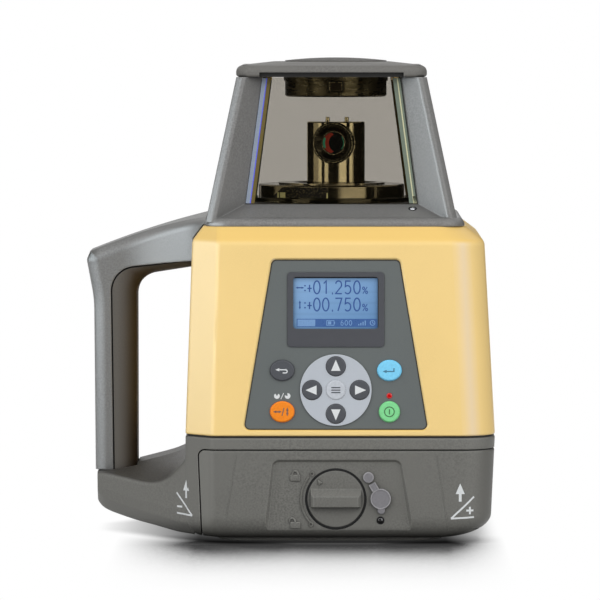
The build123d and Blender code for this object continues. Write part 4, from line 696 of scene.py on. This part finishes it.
# Keys: place across and up the front, half width and height, level of what is round them, material slot
KEYS = {
    "esc": (-KEY_X, KEY_HIGH, KEY_RX, KEY_RY, PANEL_OUT, "key_dark"),
    "enter": (KEY_X, KEY_HIGH, KEY_RX, KEY_RY, PANEL_OUT, "key_blue"),
    "axis": (-KEY_X, KEY_LOW, KEY_RX, KEY_RY, PANEL_OUT, "key_orange"),
    "power": (KEY_X, KEY_LOW, KEY_RY, KEY_RY, PANEL_OUT, "key_green"),
    "menu": (0.0, NAV_UP, NAV_KEY_R, NAV_KEY_R, NAV_OUT, "key_light"),
}
NAV_ARROWS = {"up": (0, 1, 90), "down": (0, -1, -90), "left": (-1, 0, 180), "right": (1, 0, 0)}
for key, (dx, dz, _) in NAV_ARROWS.items():
    KEYS[key] = (dx * NAV_STEP, NAV_UP + dz * NAV_STEP, NAV_KEY_R, NAV_KEY_R, NAV_OUT, "key_dark")


def key_sign(key, sign, material):
    x, up = KEYS[key][:2]
    stamp(key + "_sign", sign, on_face(KEY_OUT, x, up), key + "_key_body", material, "key_light")


back = Sign().arrow(-2.3, 0.35, 180, 1.9)
back.ribbon([(-1.6, 0.35), (1.7, 0.35)] + arc(1.7, -0.45, 0.8, 0.8, 90, -90, 8) + [(0.2, -1.25)], 0.55)
key_sign("esc", back, white_ink)

enter = Sign().arrow(-2.2, -0.5, 180, 1.9)
enter.ribbon([(-1.6, -0.5), (2.3, -0.5), (2.3, 1.2)], 0.6)
key_sign("enter", enter, ink("blue_key_ink", srgb(72, 124, 152)))

axes = Sign().bar(-3.4, 0.0, -1.5, 0.0, 0.7).arrow(-3.7, 0, 180, 1.6).arrow(-1.1, 0, 0, 1.6)
axes.bar(2.6, -0.9, 2.6, 0.9, 0.7).arrow(2.6, 1.3, 90, 1.6).arrow(2.6, -1.3, -90, 1.6)
axes.bar(-0.1, -2.0, 0.9, 2.0, 0.5)
key_sign("axis", axes, ink("orange_key_ink", srgb(138, 104, 88)))

power = Sign().ring(0, 0, 2.45, 0.5).bar(0, -1.3, 0, 1.3, 0.55)
key_sign("power", power, ink("green_key_ink", srgb(68, 112, 72)))

menu = Sign()
for level in (-1.25, 0.0, 1.25):
    menu.bar(-2.3, level, 2.3, level, 0.55)
key_sign("menu", menu, ink("dark_ink", srgb(58, 60, 66)))

for key, (_, _, angle) in NAV_ARROWS.items():
    key_sign(key, Sign().arrow(0, 0, angle, 5.4), white_ink)

# Printed marks on the panel: two plumb signs over the axis key
PLUMB_UP = 20.3
plumb = Sign().disc(-2.7, 0.1, 1.45, 125, 415).disc(2.7, 0.1, 1.45, 165, 455)
plumb.bar(-0.7, -1.5, 0.7, 1.6, 0.35)
stamp("plumb_signs", plumb, on_face(PANEL_OUT, -KEY_X, PLUMB_UP), "housing", white_ink, "key_light")

# Display: two plain signed numbers, a mark before each, and a status bar; a pen is width, height and stroke
COLUMNS = (-13.3, -9.6, -5.1, -1.7, 1.4, 6.1, 10.7)
DIGIT_PEN = (3.8, 6.9, 0.62)
SIGN_PENS = {"+": (2.2, 6.6, 0.6), ".": (2.6, 6.6, 0.95)}
PERCENT_PEN = (2.7, 3.7, 0.42)
STATUS_UP = 57.4


def on_display(name, sign, up, material=lcd_ink, rise=LCD_INK):
    stamp(name, sign, on_face(LCD_OUT, 0, up), "housing", material, "display_blue", rise)


for name, text, up in (("number_first", "+01.250", 75.4), ("number_second", "+00.750", 66.7)):
    line = Sign()
    for figure, x in zip(text, COLUMNS):
        line.digit(figure, x, 0.0, *SIGN_PENS.get(figure, DIGIT_PEN))
    line.digit("%", 14.8, -1.5, *PERCENT_PEN)
    on_display(name, line, up)
level_mark = Sign().bar(-19.2, 0, -17.2, 0, 0.5).arrow(-19.6, 0, 180, 1.2).arrow(-16.8, 0, 0, 1.2)
plumb_mark = Sign().bar(-18.2, -1.1, -18.2, 1.1, 0.5).arrow(-18.2, 1.5, 90, 1.2).arrow(-18.2, -1.5, -90, 1.2)
for name, marks, up in (("number_mark_first", level_mark, 75.2), ("number_mark_second", plumb_mark, 66.5)):
    on_display(name, marks.disc(-15.6, 1.0, 0.4).disc(-15.6, -1.4, 0.4), up)

on_display("status_bar", Sign().box(-19.8, -2.05, 20.9, 2.05), STATUS_UP, bar_ink, 0.02)
icons = Sign().box(-19.4, -1.7, -10.4, 1.7)
icons.border(-4.6, -1.2, -0.9, 1.2, 0.35).bar(-0.6, -0.5, -0.6, 0.5, 0.4).bar(-4.0, 0, -2.3, 0, 1.6)
for k, figure in enumerate("600"):
    icons.digit(figure, 3.2 + 2.1 * k, 0, 1.6, 2.6, 0.36)
for k in range(4):
    icons.bar(11.6 + 1.1 * k, -1.3, 11.6 + 1.1 * k, -0.6 + 0.6 * k, 0.6)
icons.ring(18.6, 0, 1.2, 0.4).bar(18.6, 0, 18.6, 0.9, 0.35).bar(18.6, 0, 19.2, -0.4, 0.35)
on_display("status_icons", icons, STATUS_UP, lcd_light, 0.05)


# Slope signs on the base: an arrow over a rising or falling line
def slope_sign(plus):
    side = 1 if plus else -1
    sign = Sign()
    sign.bar(-6.0 * side, -8.2, 5.8 * side, -7.6, 0.9, 1.0)
    sign.bar(-6.0 * side, -8.2, 5.8 * side, 2.8, 0.9, 1.0)
    sign.bar(3.6 * side - 1.9, -4.2, 3.6 * side + 1.9, -4.2, 1.0, 1.0)
    if plus:
        sign.bar(3.6, -6.1, 3.6, -2.3, 1.0, 1.0)
    sign.bar(-1.4 * side, 0.4, -1.4 * side, 5.2, 1.4, 1.0)
    sign.arrow(-1.4 * side, 6.4, 90, 5.2)
    return sign


right_corner = draped(["battery_door", "base_case"], (64.3, FRONT_Y, 21.0), 12.0)
left_corner = draped(["base_case"], (-78.7, -70.0, 21.4), -45.0)
stamp("slope_sign_right", slope_sign(True), right_corner, "battery", white_ink, "key_light", SLOPE_INK)
stamp("slope_sign_left", slope_sign(False), left_corner, "housing", white_ink, "key_light", SLOPE_INK)

# Raised marks round the lock knob: an arc, a closed and an open lock sign, and the knob's pointer
TURN_MARK_R = 17.6
door_place = draped(["battery_door"], (0.0, FRONT_Y, KNOB_Z))
turn_marks = Sign().ribbon(arc(0, 0, TURN_MARK_R, TURN_MARK_R, 141, 222, 36), 0.9)
for level, lift in ((11.4, 0.0), (-12.6, 1.5)):
    turn_marks.box(-23.0, level - 2.2, -18.0, level + 0.9)
    turn_marks.ribbon(arc(-20.5 - lift, level + 0.8, 1.5, 2.1, 0, 180, 10), 0.8)
for end_x, end_z in ((-12.0, 12.8), (-12.6, -12.9)):
    turn_marks.ring(end_x, end_z, 0.9, 0.6)
grey = (looks["housing_grey"], "housing_grey")
stamp("turn_marks", turn_marks, door_place, "battery", *grey, EMBOSS)
pointer = Sign().arrow(-8.3, 8.6, 120, 2.6)
stamp("knob_pointer", pointer, draped(["lock_knob"], (0.0, FRONT_Y, KNOB_Z)), "lock", *grey, EMBOSS)


# Black fills that paint the shade in the gap over the battery door, round the knob and in the seam of the
# handle
recess_black = rubber("recess_black", srgb(10, 10, 10), 0.7, sheen=0.0)
DOOR_TOP_Z = 47.2
DOOR_GAP = 0.6
DOOR_LEFT = -60.5
DOOR_BACK_Y = -45.0
FILL_SINK = 1.0
FILL_FREE = 0.1
BASE_TURN_R = 17.0
BODY_RIGHT = 81.0
RECESS_Y = -82.0
HANDLE_SEAM_X = -115.6
HANDLE_FOOT_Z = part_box("handle_cover")[0][2] / MM
SEAM_BEND = (HANDLE_SEAM_X - 1.2, 136.0)
SEAM_TURN_R = 13.0
SEAM_GROOVE = 0.8
GROOVE_FLOOR = 14.6
GROOVE_FILL = 2.1
ARM_SEAM = (-77.5, 141.0)


# Lays a black fill that paints shade
def seal(name, sign, place, rise):
    stamp(name, sign, place, "housing", recess_black, "seal_black", rise)


def in_door_gap(x, y):
    return Vector((x, y, DOOR_TOP_Z + FILL_FREE)), Vector((0, 0, 1.0))


turn_x = BODY_RIGHT - BASE_TURN_R
turn_y = FRONT_Y + BASE_TURN_R
fill_r = BASE_TURN_R - FILL_SINK
door_line = [(DOOR_LEFT, turn_y - fill_r)] + arc(turn_x, turn_y, fill_r, fill_r, -90, 0, 16)
door_line.append((turn_x + fill_r, DOOR_BACK_Y))
seal("door_gap_shade", Sign().ribbon(door_line, 0.6), in_door_gap, DOOR_GAP - FILL_FREE)

knob_ring = [(KNOB_R + 0.03, -0.6), (KNOB_R + 0.66, -0.6), (KNOB_R + 0.66, 0.0), (KNOB_R + 1.0, 0.0),
             (KNOB_R + 1.0, 0.1), (KNOB_R + 0.03, 0.1)]
turned("knob_gap_shade", knob_ring, (0.0, RECESS_Y, KNOB_Z), (0, -1, 0), recess_black, "battery", "seal_black")


def rounded_bend(start, bend, end, radius, count=10):
    """A line through a bend that is rounded with a radius."""
    ins = (Vector(start) - Vector(bend)).normalized()
    outs = (Vector(end) - Vector(bend)).normalized()
    half = ins.angle(outs) / 2
    centre = Vector(bend) + (ins + outs).normalized() * radius / sin(half)
    run = radius * cos(half) / sin(half)
    first = Vector(bend) + ins * run - centre
    last = Vector(bend) + outs * run - centre
    middle = [centre + first.slerp(last, k / count).normalized() * radius for k in range(count + 1)]
    return [tuple(start)] + [tuple(point) for point in middle] + [tuple(end)]


def in_groove(side):
    """A place on the floor of the handle's seam."""
    def place(x, z):
        return Vector((x + SEAM_GROOVE / 2, side * GROOVE_FLOOR, z)), Vector((0, side, 0))
    return place


seam_line = rounded_bend((HANDLE_SEAM_X, HANDLE_FOOT_Z), SEAM_BEND, ARM_SEAM, SEAM_TURN_R)
for wall, side in (("front", -1), ("back", 1)):
    seal("handle_seam_shade_" + wall, Sign().ribbon(seam_line, SEAM_GROOVE), in_groove(side), GROOVE_FILL)


# Painted shade round the edge of the sunken control panel, shaded lip over the display, creases of the
# battery door
PANEL_LOW, PANEL_HIGH = 3.5, 89.2
PANEL_HALF_LOW, PANEL_HALF_HIGH = 46.5, 32.2
PANEL_CORNER_R = 2.6
corners = [(-PANEL_HALF_LOW, PANEL_LOW), (PANEL_HALF_LOW, PANEL_LOW), (PANEL_HALF_HIGH, PANEL_HIGH),
           (-PANEL_HALF_HIGH, PANEL_HIGH)]
outline = []
for k, corner in enumerate(corners):
    outline += rounded_bend(corners[k - 1], corner, corners[(k + 1) % 4], PANEL_CORNER_R, 6)[1:-1]
panel_shade_line = Sign().ribbon(outline, 0.7, closed=True)
panel_shade_dark = rubber("panel_shade_dark", srgb(52, 48, 40), 0.7, sheen=0.0)
stamp("panel_edge_shade", panel_shade_line, on_face(PANEL_OUT), "housing", panel_shade_dark, "seal_black")
lip = Sign().bar(-LCD_HALF, 12.85, LCD_HALF, 12.85, 0.55)
lip.bar(LCD_HALF - 0.15, -12.9, LCD_HALF - 0.15, 12.9, 0.35)
seal("display_lip", lip, on_face(LCD_OUT, 0, LCD_UP), 0.4)
creases = Sign().bar(-50.4, 22.0, -55.4, -9.0, 0.35, 1.5).bar(51.0, 22.6, 57.0, -16.0, 0.35, 1.5)
stamp("door_creases", creases, door_place, "battery", *grey, 0.12)


# Charge flap: raised rims in a lighter grey that paints their highlights, and the domed lens and collar of
# the charge lamp below it
FLAP_FACE_Y = -83.7
PIN_SPOT = Vector((16.5, 33.6))
PLUG_SPOT = Vector((22.7, 22.7))
STRAP_HALF = 1.55
STRAP_ENDS = (3.7, 7.6)
RIM_W = 0.5
LAMP_SPOT = (22.6, RECESS_Y, 11.7)
LAMP_R = 1.45
LAMP_DOME_H = 0.6
strap_along = (PLUG_SPOT - PIN_SPOT).normalized()
strap_across = Vector((-strap_along.y, strap_along.x))
flap_rims = Sign().ring(PLUG_SPOT.x, PLUG_SPOT.y, 4.85, RIM_W)
for side in (-1, 1):
    ends = [PIN_SPOT + strap_along * reach + strap_across * side * STRAP_HALF for reach in STRAP_ENDS]
    flap_rims.bar(*ends[0], *ends[1], RIM_W)
flap_rim_highlight = rubber("flap_rim_highlight", srgb(152, 150, 152), 0.45)
stamp("flap_rims", flap_rims, upright(FLAP_FACE_Y, 0.0), "flap", flap_rim_highlight, "flap_grey", 0.22)
pin_rim = Sign().ring(PIN_SPOT.x, PIN_SPOT.y, 2.4, 0.45)
pin_face = draped(["flap_pin"], (0.0, FRONT_Y, 0.0))
stamp("flap_pin_rim", pin_rim, pin_face, "battery", flap_rim_highlight, "flap_grey", 0.1)
lamp_front = -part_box("charge_lamp")[0][1] / MM + RECESS_Y
dome = [(CORE, -0.3)]
for angle in (0.0, 0.3, 0.6, 0.9, 1.2, 1.5):
    dome.append((LAMP_R * cos(angle), lamp_front + LAMP_DOME_H * sin(angle)))
turned("charge_lamp_dome", dome, LAMP_SPOT, (0, -1, 0), own_looks["charge_lamp"], "battery", "lamp_red", 32)
collar = [(1.5, -0.3), (2.0, -0.3), (2.0, 0.15), (1.8, 0.25), (1.5, 0.1)]
turned("charge_lamp_collar", collar, LAMP_SPOT, (0, -1, 0), recess_black, "battery", "seal_black", 32)


# Skirts: the thin silicone collar that closes the gap round each key
SKIRT_OUT = 0.15
SKIRT_W = 0.26
for key, (x, up, rx, ry, out, slot) in KEYS.items():
    rim = arc(0, 0, rx + SKIRT_OUT, ry + SKIRT_OUT, 0, 360, 40)[:-1]
    skirt = Sign().ribbon(rim, SKIRT_W, closed=True)
    stamp(key + "_skirt", skirt, on_face(out, x, up), key + "_key_body", looks[slot], slot, 0.0)


# Glazed head: painted reflections along the panes' edges, a black strip that paints the shade under the lid,
# brass feet and a pin in the sill

def turned_about_head(point, quarter):
    """A point turned by quarter turns about the axis of the glazed head."""
    x, y, z = point
    for _ in range(quarter):
        x, y = -y, x
    return (HEAD_X + x, y, z)


def pane_half(z):
    return PANE_HALF_LOW + (PANE_HALF_HIGH - PANE_HALF_LOW) * (z - FLOOR_Z) / (LID_Z - FLOOR_Z)


def slab(name, corners, inward, material, slot, quarter):
    """A thin plate on the housing, from its outer corners and a vector to the inner ones."""
    outer = [Vector(corner) for corner in corners]
    points = outer + [corner + Vector(inward) for corner in outer]
    faces = [(0, 1, 2, 3), (7, 6, 5, 4)]
    faces += [(k, k + 4, (k + 1) % 4 + 4, (k + 1) % 4) for k in range(4)]
    points = [turned_about_head(point, quarter) for point in points]
    make(name, points, faces, material, "housing", slot)


LINE_LOW_Z = FLOOR_Z + 0.5
LINE_HIGH_Z = LID_Z - 0.6
LINE_T = 0.12
EAVE_SHADE_T = 0.2
EDGE_FOOT_H = 4.2


def pane_line(name, side, near, far, quarter, material, high=LINE_HIGH_Z):
    """A line of painted reflection on a pane, between two distances from its edge."""
    corners = []
    for z, inset in ((LINE_LOW_Z, near), (LINE_LOW_Z, far), (high, far), (high, near)):
        corners.append((side * (pane_half(z) - inset), -pane_half(z) - LINE_T / 2, z))
    slab(name, corners, (0.0, LINE_T, 0.0), material, "window_glass", quarter)


# Tints of the painted reflections along the panes' edges
EDGE_TINTS = {
    "pale": (150, 160, 176),
    "blue": (106, 112, 236),
    "olive": (112, 99, 58),
    "green": (122, 132, 118),
    "cream": (214, 212, 172),
    "dark": (66, 70, 66),
}
painted_edge_reflections = {tint: ink("edge_" + tint, srgb(*colour), 0.2) for tint, colour in EDGE_TINTS.items()}

# Each line's name, side of the pane, two distances from the edge, and tint
EDGE_LINES = (
    ("pale", -1, 4.5, 6.6, "pale"), ("blue", -1, 6.6, 7.1, "blue"), ("olive", -1, 7.1, 9.0, "olive"),
    ("shade", 1, 4.5, 5.0, "dark"), ("green", 1, 5.0, 6.0, "green"), ("cream", 1, 6.0, 6.6, "cream"),
    ("mist", 1, 6.6, 8.6, "green"),
)
for quarter, wall in enumerate(("front", "right", "back", "left")):
    for line, side, near, far, tint in EDGE_LINES:
        pane_line("edge_" + line + "_" + wall, side, near, far, quarter, painted_edge_reflections[tint])
    pane_line("edge_foot_" + wall, 1, 4.7, 6.4, quarter, painted_edge_reflections["cream"], FLOOR_Z + EDGE_FOOT_H)
    # A black strip under the lid's eave paints its shade
    eave_y = EAVE_DEPTH - LID_HALF - EAVE_SHADE_T
    bead = [(x, eave_y, z) for x, z in rectangle(-EAVE_HALF, LID_Z + 0.1, EAVE_HALF, LID_Z + EAVE_H)]
    slab("lid_eave_shade_" + wall, bead, (0.0, EAVE_SHADE_T, 0.0), looks["seal_black"], "seal_black", quarter)

FOOT_HALF = 33.6
FOOT_H = 2.6
foot = [(CORE, 0.0), (1.9, 0.0), (2.2, 0.4), (2.2, FOOT_H), (CORE, FOOT_H)]
for quarter in range(4):
    spot = turned_about_head((FOOT_HALF, -FOOT_HALF, LID_Z - FOOT_H), quarter)
    turned("lid_foot_%d" % quarter, foot, spot, (0, 0, 1), looks["thread_brass"], "housing",
           "thread_brass", count=6)

PIN_R = 1.5
PIN_SINK = 0.4
pin_place, pin_axis = draped(["top_frame"], (39.2, -53.0, FLOOR_Z), 0, 90)(0, 0)
pin_profile = [(CORE, -PIN_SINK), (PIN_R, -PIN_SINK), (PIN_R, 0.25), (1.1, 0.6), (CORE, 0.75)]
turned("sill_pin", pin_profile, pin_place, pin_axis, looks["drive_steel"], "housing", "drive_steel", 32)
# A black ring round the pin paints the shade of its hole
pin_hole_shade = [(PIN_R, -PIN_SINK), (2.2, -PIN_SINK), (2.2, 0.06), (PIN_R, 0.06)]
turned("sill_pin_ring", pin_hole_shade, pin_place, pin_axis, recess_black, "housing", "seal_black", 32)


# Optics: rims of the lens, and its coating's coloured reflections painted on as crescents and glints
gold_rim = metal("gold_rim", (0.50, 0.42, 0.22, 1.0), 0.25)
coating_red_reflection = ink("coating_red_reflection", srgb(178, 64, 48), 0.15)
coating_green_reflection = ink("coating_green_reflection", srgb(70, 176, 130), 0.15)
bezel_rim = Sign().ring(0, 0, LENS_RING_R - 0.75, 0.25)
bezel_place = upright(BEZEL_FRONT_Y, LENS_Z, turn=ROTOR_TURN)
stamp("bezel_rim", bezel_rim, bezel_place, "rotor", gold_rim, "optic_black")
lens_place = upright(LENS_FRONT_Y, LENS_Z, turn=ROTOR_TURN)
lens_rim = Sign().ring(0, 0, 5.95, 0.3)
stamp("lens_rim", lens_rim, lens_place, "rotor", gold_rim, "optic_black", 0.1)
crescent = arc(-0.6, 0, 4.7, 5.3, 95, 265, 20) + arc(1.5, 0, 3.9, 4.6, 250, 110, 20)
stamp("lens_red", Sign().polygon(crescent), lens_place, "rotor", coating_red_reflection, "lens_glass", 0.02)
glints = Sign().polygon(arc(0, 0, 5.5, 5.5, 148, 212, 12) + arc(1.2, 0, 5.5, 5.5, 205, 155, 12))
glints.ribbon(arc(0, 0, 5.3, 5.3, -38, 38), 0.3)
stamp("lens_green", glints, lens_place, "rotor", coating_green_reflection, "lens_glass", 0.03)

# Crackle-coated bracket in front of the turret, with three gold lands whose brightness is a painted
# reflection
BRACKET_LEFT, BRACKET_RIGHT, BRACKET_LOW, BRACKET_TOP = -32, -4, 2.7, 8.2
BRACKET_FOOT = 2.8
BRACKET_SLOPE = 1.1
LAND_TOP = 5.4
crackle = crackle_coat("crackle")
land_gold_and_glint = ink("land_gold_and_glint", srgb(255, 242, 165), 0.3)
turret_place = draped(["turret_cover"], (0.0, -40.0, FLOOR_Z))
bracket = Sign()
for x in range(BRACKET_LEFT, BRACKET_RIGHT):
    outline = [(x, BRACKET_LOW), (x + 1, BRACKET_LOW)]
    for end in (x + 1, x):
        outline.append((end, min(BRACKET_TOP, BRACKET_FOOT + BRACKET_SLOPE * (end - BRACKET_LEFT))))
    bracket.polygon(outline)
stamp("turret_bracket", bracket, turret_place, "housing", crackle, "optic_black", 0.7)
glinting_lands = Sign()
for x0, x1 in ((-29.6, -28.8), (-28.2, -25.6), (-4.7, -4.1)):
    glinting_lands.box(x0, BRACKET_LOW, x1, LAND_TOP)
stamp("turret_lands", glinting_lands, turret_place, "housing", land_gold_and_glint, "optic_black", 0.85)

# Framed sensor window of the receiver ring
sensor_glass = lamp_lens("sensor_glass", srgb(58, 48, 34), 0.0)
sensor_place = upright(1.0 - RING_R, LID_Z - 5.2)
sensor_parts = (
    ("sensor_frame", Sign().border(-3.6, -2.7, 3.6, 2.7, 0.8), own_looks["lens_bezel"], 1.3),
    ("sensor_rim", Sign().border(-3.1, -2.2, 3.1, 2.2, 0.3), gold_rim, 0.8),
    ("sensor_pane", Sign().box(-3.3, -2.4, 3.3, 2.4), sensor_glass, 0.5),
)
for name, sign, material, rise in sensor_parts:
    stamp(name, sign, sensor_place, "housing", material, "optic_black", rise)

# Fasteners: the screw heads' cross recesses as black marks, their darkness painted shade, and the thread
# inside the tripod insert
LID_SCREW_HALF = LID_HALF - 5.9
cross = Sign().bar(-1.5, 0, 1.5, 0, 0.55).bar(0, -1.5, 0, -0.28, 0.55).bar(0, 0.28, 0, 1.5, 0.55)


def screw_cross(name, spot, tilt):
    place = draped(["case_screws"], spot, 0, tilt)
    stamp(name, cross, place, "housing", recess_black, "drive_steel", CROSS_INK)


for quarter in range(4):
    spot = turned_about_head((LID_SCREW_HALF, -LID_SCREW_HALF, LID_Z), quarter)
    screw_cross("lid_screw_cross_%d" % quarter, spot, 90)
plate_low, plate_high = [[value / MM for value in corner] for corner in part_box("base_plate")]
screw_xs = (plate_low[0] + 20, plate_high[0] - 16)
screw_ys = (plate_low[1] + 43, plate_high[1] - 33)
for k, (x, y) in enumerate([(x, y) for x in screw_xs for y in screw_ys]):
    screw_cross("base_screw_cross_%d" % k, (x, y, 0.0), -90)

THREAD_PITCH = 25.4 / 11
THREAD_WALL_R = 6.93
THREAD_CREST_R = 6.45
THREAD_STEPS = 40
THREAD_TURNS = 3.3
THREAD_START = 0.9
THREAD_HALF = 0.8
thread_points = []
for k in range(int(THREAD_TURNS * THREAD_STEPS) + 1):
    turn = 2 * pi * k / THREAD_STEPS
    level = THREAD_START + THREAD_PITCH * k / THREAD_STEPS
    for radius, lift in ((THREAD_WALL_R, -THREAD_HALF), (THREAD_CREST_R, 0.0), (THREAD_WALL_R, THREAD_HALF)):
        thread_points.append((radius * cos(turn), radius * sin(turn), level + lift))
thread_faces = [(0, 1, 2), tuple(len(thread_points) - k for k in (1, 2, 3))]
for k in range(len(thread_points) // 3 - 1):
    for j in range(3):
        i = (j + 1) % 3
        thread_faces.append((3 * k + j, 3 * k + 3 + j, 3 * k + 3 + i, 3 * k + i))
make("tripod_thread", thread_points, thread_faces, looks["thread_brass"], "housing", "thread_brass")


# Stage: white to the camera, in reflections and through glass; only the floor keeps the object's shadow

def shown_to_eye(tree):
    """1 for rays that make a picture: from the camera, off a mirror or through glass."""
    path = tree.nodes.new("ShaderNodeLightPath").outputs
    total = path["Is Camera Ray"]
    for ray in ("Is Glossy Ray", "Is Transmission Ray"):
        join = tree.nodes.new("ShaderNodeMath")
        join.operation = "MAXIMUM"
        tree.links.new(total, join.inputs[0])
        tree.links.new(path[ray], join.inputs[1])
        total = join.outputs[0]
    return total


AMBIENT = 0.22
world = bpy.data.worlds.new("studio")
bpy.context.scene.world = world
world.use_nodes = True
tree = world.node_tree
backdrop = tree.nodes["Background"]
strength = tree.nodes.new("ShaderNodeMapRange")
strength.inputs["To Min"].default_value = AMBIENT
tree.links.new(shown_to_eye(tree), strength.inputs["Value"])
tree.links.new(strength.outputs[0], backdrop.inputs["Strength"])
backdrop.inputs["Color"].default_value = WHITE

# Soft shadow before the object and contact shadow at its foot, in metres: their reach and where they fade
SHADOW_REACH = 0.21
CONTACT_REACH = 0.014
SHADOW_FRONT = (-0.04, -0.09)
SHADOW_LEFT = (-0.112, -0.070)
SHADOW_RIGHT = (0.086, 0.056)
SHADOW_MIDDLE = (0.02, 0.065)

# How dark they get: the soft one beside the middle and at most, the contact one at most and at the sides
SHADOW_SIDES = 1.45
SHADOW_DARKEST = 0.95
CONTACT_DARKEST = 0.93
CONTACT_SIDES = 0.35


def floor_material():
    """White paper with a contact shadow at the object and a soft one before it."""
    skin = Skin("floor_white", Roughness=0.9, Specular_IOR_Level=0.0)
    grain = skin.noise(400.0)
    skin.paint(skin.mix(grain, (0.26, 0.26, 0.26, 1.0), (0.29, 0.29, 0.29, 1.0)))

    def shaded(reach, low, high):
        """How far the sky is hidden from the floor within the reach, 0 to 1."""
        seen = skin.add("AmbientOcclusion", {"Distance": reach}, samples=16)["AO"]
        levels = {"Value": seen, "From Min": low, "From Max": high}
        open_sky = skin.add("MapRange", levels, interpolation_type="SMOOTHSTEP")[0]
        return skin.math("SUBTRACT", 1.0, open_sky)

    spot = skin.split(skin.place)
    beside = skin.between(skin.math("ABSOLUTE", spot["X"]), *SHADOW_MIDDLE, 1.0, SHADOW_SIDES)
    shadow = skin.math("MULTIPLY", shaded(SHADOW_REACH, 0.60, 0.99), beside)
    contact = skin.math("MULTIPLY", shaded(CONTACT_REACH, 0.2, 0.9), CONTACT_DARKEST)
    for limits in (SHADOW_LEFT, SHADOW_RIGHT):
        fade = skin.between(spot["X"], *limits)
        shadow = skin.math("MULTIPLY", shadow, fade)
        contact = skin.math("MULTIPLY", contact, skin.between(fade, 0.0, 1.0, CONTACT_SIDES, 1.0))
    shadow = skin.math("MULTIPLY", shadow, skin.between(spot["Y"], *SHADOW_FRONT))
    lit = skin.math("SUBTRACT", 1.0, skin.math("MINIMUM", shadow, SHADOW_DARKEST))
    light = skin.math("MULTIPLY", lit, skin.math("SUBTRACT", 1.0, contact))
    glow = skin.add("Emission", {"Strength": light})[0]
    skin.show(shown_to_eye(skin.tree), skin.shader.outputs[0], glow)
    return skin.material


def staged(name, points, faces, material):
    mesh = bpy.data.meshes.new(name)
    mesh.from_pydata(points, [], faces)
    mesh.materials.append(material)
    thing = placed(name, mesh)
    return thing


FLOOR_HALF = 6.0
floor_corners = [(x, y, 0.0) for x, y in rectangle(-FLOOR_HALF, -FLOOR_HALF, FLOOR_HALF, FLOOR_HALF)]
staged("floor", floor_corners, [(0, 1, 2, 3)], floor_material())

# Flags: black cloths that only glossy parts see, as dark stripes between the lamps
FLAG_R = 1.3
FLAG_LOW = 0.001
FLAG_HIGH = 0.75
FLAG_STEPS = 24
flag_cloth = rubber("flag_cloth", srgb(10, 10, 10), 0.9)


def flag(name, start, end):
    """A curved cloth between two directions, in degrees from the front towards the right."""
    points = []
    for k in range(FLAG_STEPS + 1):
        turn = radians(start + (end - start) * k / FLAG_STEPS)
        x, y = FLAG_R * sin(turn), -FLAG_R * cos(turn)
        points += [(x, y, FLAG_LOW), (x, y, FLAG_HIGH)]
    faces = [(2 * k, 2 * k + 2, 2 * k + 3, 2 * k + 1) for k in range(FLAG_STEPS)]
    cloth = staged(name, points, faces, flag_cloth)
    for ray in ("camera", "diffuse", "transmission", "shadow"):
        setattr(cloth, "visible_" + ray, False)


flag("flag_middle", -31, 10)
flag("flag_right", 75, 170)
flag("flag_left", -150, -100)


def softbox(name, azimuth, elevation, distance, width, height, power, colour):
    """A soft area light aimed at the object, its azimuth measured as the flags are."""
    data = bpy.data.lights.new(name, "AREA")
    data.shape = "RECTANGLE"
    data.size = width
    data.size_y = height
    data.energy = power
    data.color = colour
    light = placed(name, data)
    turn = radians(azimuth)
    lift = radians(elevation)
    away = Vector((sin(turn) * cos(lift), -cos(turn) * cos(lift), sin(lift)))
    light.location = Vector(CAMERA_TARGET) + away * distance
    light.rotation_euler = away.to_track_quat("Z", "Y").to_euler()
    light.visible_camera = False
    return light


softbox("key_light", -44, 25, 1.5, width=1.9, height=1.7, power=17.0, colour=(0.96, 0.98, 1.0))
softbox("fill_light", 42, 25, 1.5, width=1.7, height=1.7, power=16.5, colour=(0.98, 0.99, 1.0))

# A low strip at the left puts a cool sheen on the handle, the posts and the main case alone
COOL = (0.84, 0.94, 1.0)
sheen_light = softbox("sheen_light", -66, 10, 0.7, width=1.3, height=0.36, power=13.5, colour=COOL)
sheen_light.visible_diffuse = False
sheen_group = bpy.data.collections.new("sheen_nodes")
for name in ("handle_shell", "top_frame", "main_case"):
    sheen_group.objects.link(nodes[name])
sheen_light.light_linking.receiver_collection = sheen_group

camera = placed("camera", bpy.data.cameras.new("camera"))
camera.location = CAMERA_PLACE
camera.rotation_euler = (Vector(CAMERA_PLACE) - Vector(CAMERA_TARGET)).to_track_quat("Z", "Y").to_euler()
camera.data.lens = CAMERA_LENS
camera.data.sensor_width = 36.0
camera.data.shift_x, camera.data.shift_y = CAMERA_SHIFT
camera.data.clip_end = 50.0
bpy.context.scene.camera = camera
bpy.context.scene.view_settings.view_transform = "Standard"
